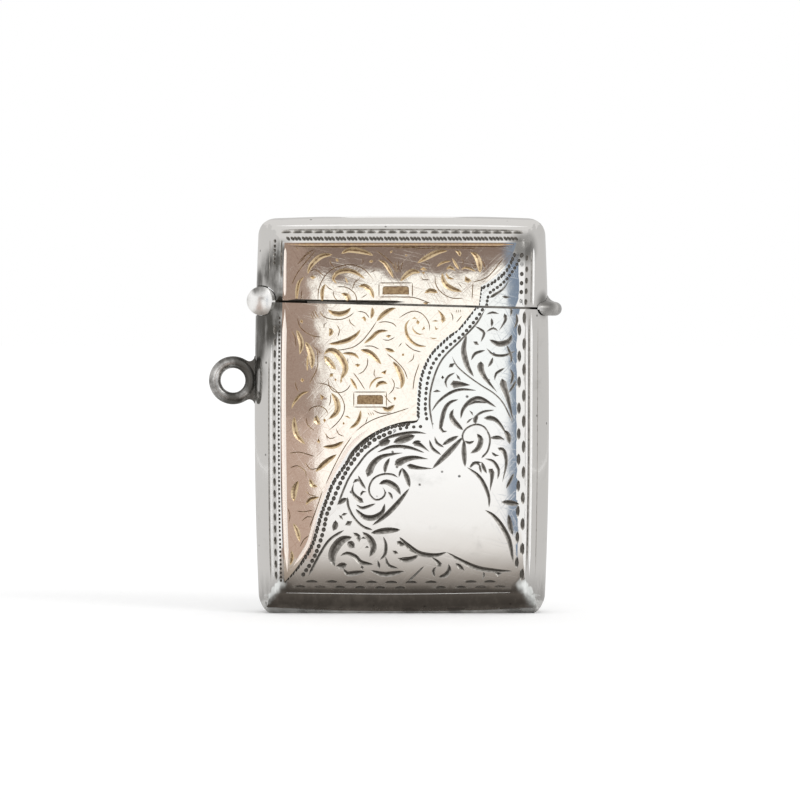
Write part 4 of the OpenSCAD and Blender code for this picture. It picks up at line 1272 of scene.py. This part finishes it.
def silver_cut_finish(name, top, bottom, metallic=0.9):
    """Engraved walls: grey silver with dark oxide at the bottom."""
    f = Finish(name)
    deep = f.node("Attribute", attribute_name="cut_depth").outputs["Fac"]
    speck = f.noise(2600, 3.0)
    oxide = f.span(f.math("ADD", deep, f.span(speck, 0.3, 0.7, -0.25, 0.25)), 0.05, 0.85)
    f.set(Base_Color=f.blend(oxide, top, bottom), Metallic=metallic)
    f.set(Roughness=f.span(speck, 0.2, 0.8, 0.28, 0.5), Normal=f.relief(speck, 0.006 * MM))
    return f.material


def silver_inside_finish(name, colour, film):
    """Dull, unpolished silver inside the case, stained by use."""
    f = Finish(name)
    cloud = f.noise(260, 6.0, roughness=0.65)
    f.set(Base_Color=f.blend(f.span(cloud, 0.35, 0.75, 0.0, 0.9), colour, film), Metallic=1.0)
    f.set(Roughness=f.span(cloud, 0.2, 0.8, 0.34, 0.55))
    f.set(Normal=f.relief(f.noise(1500, 4.0), 0.01 * MM))
    return f.material


def gold_finish(name, look):
    """Worn rose gold: faint stains, brushed scratches and shallow dents."""
    f = Finish(name)
    cloud = f.noise(190, 5.0, roughness=0.6)
    grain = f.noise(4200, 3.0, roughness=0.6)
    scratch = f.scratches()
    stain = f.math("ADD", f.span(cloud, 0.5, 0.8, 0.0, 0.2), f.math("MULTIPLY", scratch, 0.25))
    stain = f.math("ADD", stain, f.span(grain, 0.4, 0.75, 0.0, 0.26))
    f.set(Base_Color=f.blend(stain, look.colour, look.shade), Metallic=1.0)
    f.set(Roughness=f.math("MULTIPLY_ADD", stain, 0.06, look.roughness))
    waves = f.relief(f.noise(170, 2.0), 0.025 * MM)
    f.set(Normal=f.relief(f.math("ADD", grain, f.math("MULTIPLY", scratch, -0.5)), 0.0005 * MM, waves))
    return f.material


def gold_cut_finish(name, look, from_depth, to_depth):
    """Bright walls of the gold's cuts, brown at the bottom."""
    f = Finish(name)
    deep = f.node("Attribute", attribute_name="cut_depth").outputs["Fac"]
    speck = f.noise(2400, 3.0)
    brown = f.span(f.math("ADD", deep, f.span(speck, 0.3, 0.7, -0.2, 0.2)), from_depth, to_depth)
    f.set(Base_Color=f.blend(brown, look.cut, look.cut_deep), Metallic=0.95)
    f.set(Roughness=f.span(speck, 0.2, 0.8, 0.2, 0.36), Normal=f.relief(speck, 0.004 * MM))
    return f.material


def gold_matt_finish(name, colour, shade, rough, metallic=1.0):
    """Matt gold, pale, rough and finely grained: frosted fields, and the rims' painted highlights."""
    f = Finish(name)
    grain = f.noise(3600, 4.0, roughness=0.6)
    f.set(Base_Color=f.blend(f.span(grain, 0.3, 0.75), colour, shade), Metallic=metallic)
    f.set(Roughness=f.span(grain, 0.2, 0.8, rough - 0.08, rough + 0.08), Normal=f.relief(grain, 0.012 * MM))
    return f.material


def steel_finish(name, look):
    """Spring steel with a brown film and drawn lines along its length."""
    f = Finish(name)
    lines = f.noise(1800, 3.0, (1, 1, 0.05))
    cloud = f.noise(420, 4.0)
    f.set(Base_Color=f.blend(f.span(cloud, 0.4, 0.75), look.steel, look.steel_film), Metallic=1.0)
    f.set(Roughness=f.span(lines, 0.2, 0.8, 0.25, 0.45), Normal=f.relief(lines, 0.005 * MM))
    return f.material


def painted_shade_finish(name, look):
    """Near black, matt and finely grained: the painted shade in the mouth's gap."""
    f = Finish(name)
    grain = f.noise(2600, 4.0)
    f.set(Base_Color=f.blend(f.span(grain, 0.3, 0.7), look.dirt, look.painted_gap_shade_grain), Specular_IOR_Level=0.2)
    f.set(Roughness=f.span(grain, 0.2, 0.8, 0.7, 0.95), Normal=f.relief(grain, 0.01 * MM))
    return f.material


def made(build, name, *values, **settings):
    """The material of that name, built the first time it is asked for."""
    return bpy.data.materials.get(name) or build(name, *values, **settings)


def mouth_dirt(scene):
    """The finish of the painted shade, which the shaded wedges at the mouth share."""
    return made(painted_shade_finish, "mouth_dirt", scene.case_fittings)


def engraved_shell(scene, node, name, body, marks, drawings=(), painted_highlights=(), wedge=(), back=False):
    """A silver shell with its drawings, border, painted highlights and painted shade, for its CAD node."""
    silver, look = scene.case_silver, scene.case_engraving
    polished = made(silver_finish, "silver_sheet", silver)
    cut = made(silver_cut_finish, "silver_cut", silver.cut, silver.cut_deep)
    inside = made(silver_inside_finish, "silver_inside", silver.inside, silver.tarnish)
    # Painted highlight: a pale, weakly metallic finish for the border's light lines.
    bright = made(silver_cut_finish, "silver_line", silver.line, silver.colour, metallic=0.3)
    tree = face_tree(node)
    engraving, lines, painted_shade_cuts = (Graver(tree, look, back) for _ in range(3))
    for drawing in drawings:
        engraving.drawing(drawing, look.broaden)
    engraving.marks(marks)
    lines.marks(painted_highlights)
    painted_shade_cuts.marks(wedge)
    planes = border_planes(node)
    piece = merged_copy(node, name, polished, planes)
    # The light lines are painted highlights and the wedges painted shade.
    for graver, finish in ((lines, bright), (engraving, cut), (painted_shade_cuts, mouth_dirt(scene))):
        cut_piece(piece, graver, finish)
    paint_inside(piece, inside, engraving.side)
    finish_surface(piece, node, tree, (polished, inside), planes)
    settle(piece, body, node)


class CASE_OT_body_front(bpy.types.Operator):
    """Engraves the front half of the body"""

    bl_idname = "case.body_front"
    bl_label = "Body front"

    def execute(self, context):
        engraved_shell(context.scene, "front_shell", "body_front_engraved", "case", BODY_MARKS,
                       (UPPER_SILVER, MIDDLE_SILVER, LOWER_LEFT_SILVER, LOWER_RIGHT_SILVER), BODY_PAINTED_HIGHLIGHTS,
                       BODY_WEDGE)
        return {"FINISHED"}


class CASE_OT_lid_front(bpy.types.Operator):
    """Engraves the front half of the lid"""

    bl_idname = "case.lid_front"
    bl_label = "Lid front"

    def execute(self, context):
        engraved_shell(context.scene, "lid_front_shell", "lid_front_engraved", "lid", LID_MARKS,
                       (LID_SILVER,), LID_PAINTED_HIGHLIGHTS, LID_WEDGE)
        return {"FINISHED"}


class CASE_OT_gold_panels(bpy.types.Operator):
    """Engraves the rose gold panels of the body and the lid"""

    bl_idname = "case.gold_panels"
    bl_label = "Gold panels"

    def execute(self, context):
        look = context.scene.case_engraving
        gold = context.scene.case_gold
        face = made(gold_finish, "rose_gold_face", gold)
        wide = made(gold_cut_finish, "gold_cut", gold, from_depth=0.35, to_depth=1.15)
        thin = made(gold_cut_finish, "gold_line", gold, from_depth=-0.4, to_depth=0.3)
        # Painted highlights: pale rims along the gold's edges and an amber line along the lid's top edge.
        rim = made(gold_matt_finish, "rose_gold_rim", gold.rim, gold.colour, rough=0.45, metallic=0.3)
        amber = made(gold_matt_finish, "gold_amber", gold.cut, gold.shade, rough=0.4)
        frost = made(gold_matt_finish, "gold_frosted", gold.field, gold.cut_deep, rough=0.4)
        # Painted shade of the mouth's gap, cut into the lid's gold.
        dirt = mouth_dirt(context.scene)
        for panel in GOLD_PANELS:
            node = panel["node"]
            tree = face_tree(node)
            cuts, hairs, fields, rim_highlights, tops, wedge = (Graver(tree, look) for _ in range(6))
            for drawing in panel["drawings"]:
                cuts.drawing(drawing, look.broaden_gold, hairs)
            fields.field(panel["field"])
            hairs.frame(panel["frame"])
            # The rims and the top line are painted highlights; the shade line, cut with the hairlines, is
            # painted shade.
            for graver, paths, width in ((rim_highlights, panel["rim_highlights"], gold.rim_width),
                                         (tops, panel["tops"], gold.rim_width),
                                         (hairs, panel["shades"], look.hairline)):
                for path, share in paths:
                    graver.line(path, width * share)
            wedge.marks(panel["wedge"])
            piece = merged_copy(node, panel["name"], face)
            for graver, finish in ((cuts, wide), (hairs, thin), (fields, frost), (rim_highlights, rim), (tops, amber),
                                   (wedge, dirt)):
                cut_piece(piece, graver, finish)
            finish_surface(piece, node, tree, (face,))
            settle(piece, panel["body"], node)
        return {"FINISHED"}


class CASE_OT_mouth_painted_shade(bpy.types.Operator):
    """Puts a near black strip of painted shade in the mouth beside the hinge, where the lid's gap is dark"""

    bl_idname = "case.mouth_dirt"
    bl_label = "Mouth dirt"

    def execute(self, context):
        tree = face_tree("front_shell")
        rings = []
        for k in range(GAP_SHADE_SECTIONS + 1):
            x = GAP_SHADE_LEFT + (GAP_SHADE_RIGHT - GAP_SHADE_LEFT) * k / GAP_SHADE_SECTIONS
            z = MOUTH_Z + MOUTH_SLOPE * x
            wall = tree.ray_cast(Vector((x, 0, z - GAP_SHADE_FOOT)), Vector((0, -1, 0)))[0]
            if wall is None:
                raise RuntimeError("mouth_dirt: no wall behind the dirt")
            front, back = wall.y + GAP_SHADE_CLEAR, wall.y + GAP_SHADE_CLEAR + GAP_SHADE_THICK
            foot, head = z - GAP_SHADE_FOOT, z + GAP_SHADE_HEAD
            rings.append(((x, front, foot), (x, back, foot), (x, back, head), (x, front, head)))
        bm = bmesh.new()
        sweep(bm, rings)
        bmesh.ops.recalc_face_normals(bm, faces=bm.faces)
        piece = new_object("mouth_dirt", bm, mouth_dirt(context.scene))
        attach(piece, "case")
        return {"FINISHED"}


class CASE_OT_back_shells(bpy.types.Operator):
    """Finishes the back halves with a border of punch marks"""

    bl_idname = "case.back_shells"
    bl_label = "Back shells"

    def execute(self, context):
        engraved_shell(context.scene, "back_shell", "body_back", "case", BODY_BACK_MARKS, back=True)
        engraved_shell(context.scene, "lid_back_shell", "lid_back", "lid", LID_BACK_MARKS, back=True)
        return {"FINISHED"}


class CASE_OT_fittings(bpy.types.Operator):
    """Gives the ring, thumb piece, hinge, base, collar and spring their finishes"""

    bl_idname = "case.fittings"
    bl_label = "Fittings"

    def execute(self, context):
        look = context.scene.case_silver
        # Worn silver with a heavier film; on the base plate it is also painted shade, darkening its edge
        # where it meets the floor.
        worn = made(silver_finish, "silver_worn", look, film_from=0.38, film_most=0.7, rough=0.1,
                    dent=0.4 * MM)
        # Heavy tarnish; on the suspension ring it also stands for the darker reflections of its sides, a
        # painted shade.
        dark = made(silver_finish, "silver_tarnished", look, film_from=0.24, film_most=1.0, rough=0.1,
                    dent=0.4 * MM)
        dull = made(silver_inside_finish, "silver_dull", look.cut, look.tarnish)
        # The end cap's painted shades go in as its mottled stains.
        capped = made(silver_finish, "silver_cap", look, film_from=0.45, film_most=0.6, rough=0.16,
                      dent=0.15 * MM, stains=CAP_PAINTED_SHADES, shades=(), soot=())
        steel = made(steel_finish, "spring_steel", context.scene.case_fittings)
        for finish, nodes in ((capped, ("hinge_end_caps",)), (worn, ("thumb_piece", "base_plate")),
                              (dark, ("suspension_ring", "body_hinge_leaf", "lid_hinge_leaf")),
                              (dull, ("mouth_collar",)),
                              (steel, ("lid_spring", "spring_rivets", "hinge_pin"))):
            for node in nodes:
                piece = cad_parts[node]
                piece.data.materials.clear()
                piece.data.materials.append(finish)
        return {"FINISHED"}


class CASE_OT_stage(bpy.types.Operator):
    """Sets the floor, the light, the reflection cards and the camera"""

    bl_idname = "case.stage"
    bl_label = "Stage"

    def execute(self, context):
        scene = context.scene
        look = scene.case_stage
        scene.view_settings.view_transform = "Standard"
        self.world(scene, look)
        self.floor(look)
        self.cards(look)
        lamp = bpy.data.lights.new("key_light", "SUN")
        lamp.energy = look.key_strength
        lamp.angle = KEY_SPREAD
        key = bpy.data.objects.new("key_light", lamp)
        key.location = KEY_PLACE
        key.rotation_euler = (-key.location).to_track_quat("-Z", "Y").to_euler()
        scene.collection.objects.link(key)
        camera = bpy.data.cameras.new("camera")
        camera.sensor_width = SENSOR
        camera.lens = SENSOR * (look.distance + FACE_DEPTH) / (2 * VIEW_MIDDLE_PX * PX)
        camera.clip_start = CLIP_START
        seen = on_face(VIEW_MIDDLE_PX, VIEW_MIDDLE_PX)
        view = bpy.data.objects.new("camera", camera)
        view.location = (seen.x, -FACE_DEPTH - look.distance * math.cos(look.elevation),
                         seen.y + look.distance * math.sin(look.elevation))
        view.rotation_euler = (math.pi / 2 - look.elevation, 0, 0)
        scene.collection.objects.link(view)
        scene.camera = view
        return {"FINISHED"}

    @staticmethod
    def world(scene, look):
        """White to the eye and in reflections, a little less as light on matt surfaces."""
        world = bpy.data.worlds.new("room")
        world.use_nodes = True
        tree = world.node_tree
        ground = tree.nodes["Background"]
        ground.inputs["Color"].default_value = (1, 1, 1, 1)
        path = tree.nodes.new("ShaderNodeLightPath")
        seen = path.outputs["Is Camera Ray"]
        for name in ("Is Glossy Ray", "Is Transmission Ray"):
            both = tree.nodes.new("ShaderNodeMath")
            both.operation = "MAXIMUM"
            tree.links.new(seen, both.inputs[0])
            tree.links.new(path.outputs[name], both.inputs[1])
            seen = both.outputs[0]
        level = tree.nodes.new("ShaderNodeMapRange")
        level.inputs["To Min"].default_value = look.fill
        level.inputs["To Max"].default_value = 1.0
        tree.links.new(seen, level.inputs["Value"])
        tree.links.new(level.outputs["Result"], ground.inputs["Strength"])
        scene.world = world

    @staticmethod
    def floor(look):
        """A wide white floor that keeps the case's shadow."""
        f = Finish("white_paper")
        tone = f.span(f.noise(900, 3.0), 0.3, 0.7)
        f.set(Base_Color=f.blend(tone, look.floor, look.floor_pale), Roughness=0.9)
        f.set(Specular_IOR_Level=0.0, Emission_Color=(1, 1, 1, 1))
        eye = f.node("LightPath").outputs["Is Camera Ray"]
        f.set(Emission_Strength=f.span(eye, 0.0, 1.0, 0.0, look.floor_glow))
        bm = bmesh.new()
        bmesh.ops.create_grid(bm, x_segments=FLOOR_CELLS, y_segments=FLOOR_CELLS, size=FLOOR_HALF)
        floor = new_object("floor", bm, f.material)

    @staticmethod
    def card(name, corners, grey, strength=1.0, fade=None):
        """A card that only reflections show, even or fading with the distance in front of the case."""
        f = Finish(name)
        glow = f.node("Emission", Color=grey, Strength=strength)
        if fade:
            where = f.node("SeparateXYZ", Vector=f.coord).outputs
            ramp = f.node("ValToRGB", Fac=f.math("MULTIPLY", where["Y"], -1.0))
            stops = ramp.color_ramp.elements
            stops[0].position, stops[1].position = fade[0][0], fade[-1][0]
            for place, _ in fade[1:-1]:
                stops.new(place)
            for stop, (_, level) in zip(stops, fade):
                tint = 1 - FADE_WARMTH + FADE_WARMTH * level
                stop.color = (level, level * tint, level * tint * tint, 1)
            aside = f.math("ABSOLUTE", f.math("ADD", where["X"], BESIDE_MIDDLE))
            even = f.math("MULTIPLY", f.span(aside, *BESIDE), f.span(where["Y"], *CLOSE))
            f.put(f.blend(even, ramp.outputs["Color"], grey), glow.inputs["Color"])
        f.put(glow.outputs[0], f.tree.nodes["Material Output"].inputs["Surface"])
        f.tree.nodes.remove(f.shader)
        bm = bmesh.new()
        bm.faces.new([bm.verts.new(c) for c in corners])
        card = new_object(name, bm, f.material)
        card.visible_camera = False
        card.visible_diffuse = False
        card.visible_shadow = False
        card.visible_transmission = False

    def cards(self, look):
        """Cards whose edges lie where the crowned front mirrors them at the wanted places."""

        def grey(level):
            return (*(level * tint for tint in GREY_TINT), 1)

        def warm(level):
            return (*(level * tint for tint in WARM_TINT), 1)

        def mirrored(x, distance):
            return x * (1 + (2 / CROWN_R + 1 / look.distance) * distance)

        def wall(points):
            return [(x, -CARD_WALL, z) for x, z in points]

        def flat(points, layer):
            return [(x, y, layer * CARD_RISE) for x, y in points]

        left, right = mirrored(FRONT_LEFT, CARD_WALL), mirrored(FRONT_RIGHT, CARD_WALL)
        edge = ((left, 0), *WALL_LEFT)
        risen = (right, WALL_RISEN)
        corner = WALL_LEFT[-1]
        self.card("card_front", wall((*edge, WALL_BEND, risen, (right, 0))), CARD_WHITE, look.front_light)
        self.card("card_left", wall((*edge, (corner[0], CARD_TOP), (WALL_END_LEFT, CARD_TOP),
                                     (WALL_END_LEFT, 0))), warm(look.left_grey))
        self.card("card_top", wall((corner, WALL_BEND, risen, (WALL_END_RIGHT, WALL_RISEN),
                                    (WALL_END_RIGHT, CARD_TOP), (corner[0], CARD_TOP))), warm(look.top_grey))
        # Painted shade: the front floor card is darkest close to the case, where the bevel mirrors the shaded
        # floor.
        self.card("card_front_floor", flat(((-FRONT_FLOOR_HALF, -CARD_FOOT), (FRONT_FLOOR_HALF, -CARD_FOOT),
                                            (right, -CARD_WALL), (left, -CARD_WALL)), 1),
                  CARD_WHITE, look.front_light, FRONT_FADE)
        self.card("card_left_floor", flat(((mirrored(FRONT_LEFT, CARD_NEAR), -CARD_NEAR), (left, -CARD_WALL),
                                           (WALL_END_LEFT, -CARD_WALL), (FLOOR_END_LEFT, -CARD_NEAR)), 2),
                  warm(look.left_grey * LEFT_FLOOR_LIGHTER))
        self.card("card_right", [(mirrored(x, CARD_STRIP), -CARD_STRIP, z) for x, z in STRIP],
                  look.right_blue)
        self.card("card_right_floor", flat([(mirrored(x, y), -y) for x, y in STRIP_FLOOR], 2),
                  look.right_blue)
        for name, x, level in (("left", -BOX_HALF, look.side_left), ("right", BOX_HALF, look.side_right)):
            back = x * BOX_OPEN
            self.card("card_side_" + name, [(x, y, z) for y, z in (
                (BOX_FRONT, BOX_RISE), (BOX_BACK, BOX_RISE), (BOX_BACK, BOX_TOP), (BOX_FRONT, BOX_TOP))],
                grey(level))
            self.card("card_side_floor_" + name, flat(((back, -CARD_FOOT), (x, BOX_FRONT), (x, BOX_BACK),
                                                       (back, BOX_BACK)), 3), grey(level))
            self.card("card_back_" + name, [(at, BOX_BACK, z) for at, z in (
                (back, BOX_RISE), (x, BOX_RISE), (x, BOX_TOP), (back, BOX_TOP))], grey(level))
        self.card("card_ceiling", [(x, y, BOX_TOP) for x, y in (
            (-BOX_HALF, CEILING_FRONT), (BOX_HALF, CEILING_FRONT), (BOX_HALF, BOX_BACK),
            (-BOX_HALF, BOX_BACK))], grey(look.ceiling))


class CASE_PT_panel(bpy.types.Panel):
    """Lists the steps that build the match case"""

    bl_label = "Match case"
    bl_idname = "CASE_PT_panel"
    bl_space_type = "VIEW_3D"
    bl_region_type = "UI"
    bl_category = "Match case"

    def draw(self, context):
        for operator in OPERATORS:
            self.layout.operator(operator.bl_idname)
        for group, kind in GROUPS.items():
            box = self.layout.box()
            for name in kind.__annotations__:
                box.prop(getattr(context.scene, group), name)


GROUPS = {"case_silver": CaseSilver, "case_gold": CaseGold, "case_fittings": CaseFittings,
          "case_engraving": CaseEngraving, "case_stage": CaseStage}
OPERATORS = (CASE_OT_stage, CASE_OT_body_front, CASE_OT_lid_front, CASE_OT_gold_panels, CASE_OT_mouth_painted_shade,
             CASE_OT_back_shells, CASE_OT_fittings)


def register():
    """Adds the classes and gives the scene its settings."""
    for kind in (*GROUPS.values(), *OPERATORS, CASE_PT_panel):
        bpy.utils.register_class(kind)
    for name, kind in GROUPS.items():
        setattr(bpy.types.Scene, name, PointerProperty(type=kind))


def unregister():
    """Takes the settings and the classes out again."""
    for name in GROUPS:
        delattr(bpy.types.Scene, name)
    for kind in reversed((*GROUPS.values(), *OPERATORS, CASE_PT_panel)):
        bpy.utils.unregister_class(kind)


def main():
    """Builds the case step by step."""
    register()
    bpy.ops.case.stage()
    bpy.ops.case.body_front()
    bpy.ops.case.lid_front()
    bpy.ops.case.gold_panels()
    bpy.ops.case.mouth_dirt()
    bpy.ops.case.back_shells()
    bpy.ops.case.fittings()


if __name__ == "__main__":
    main()
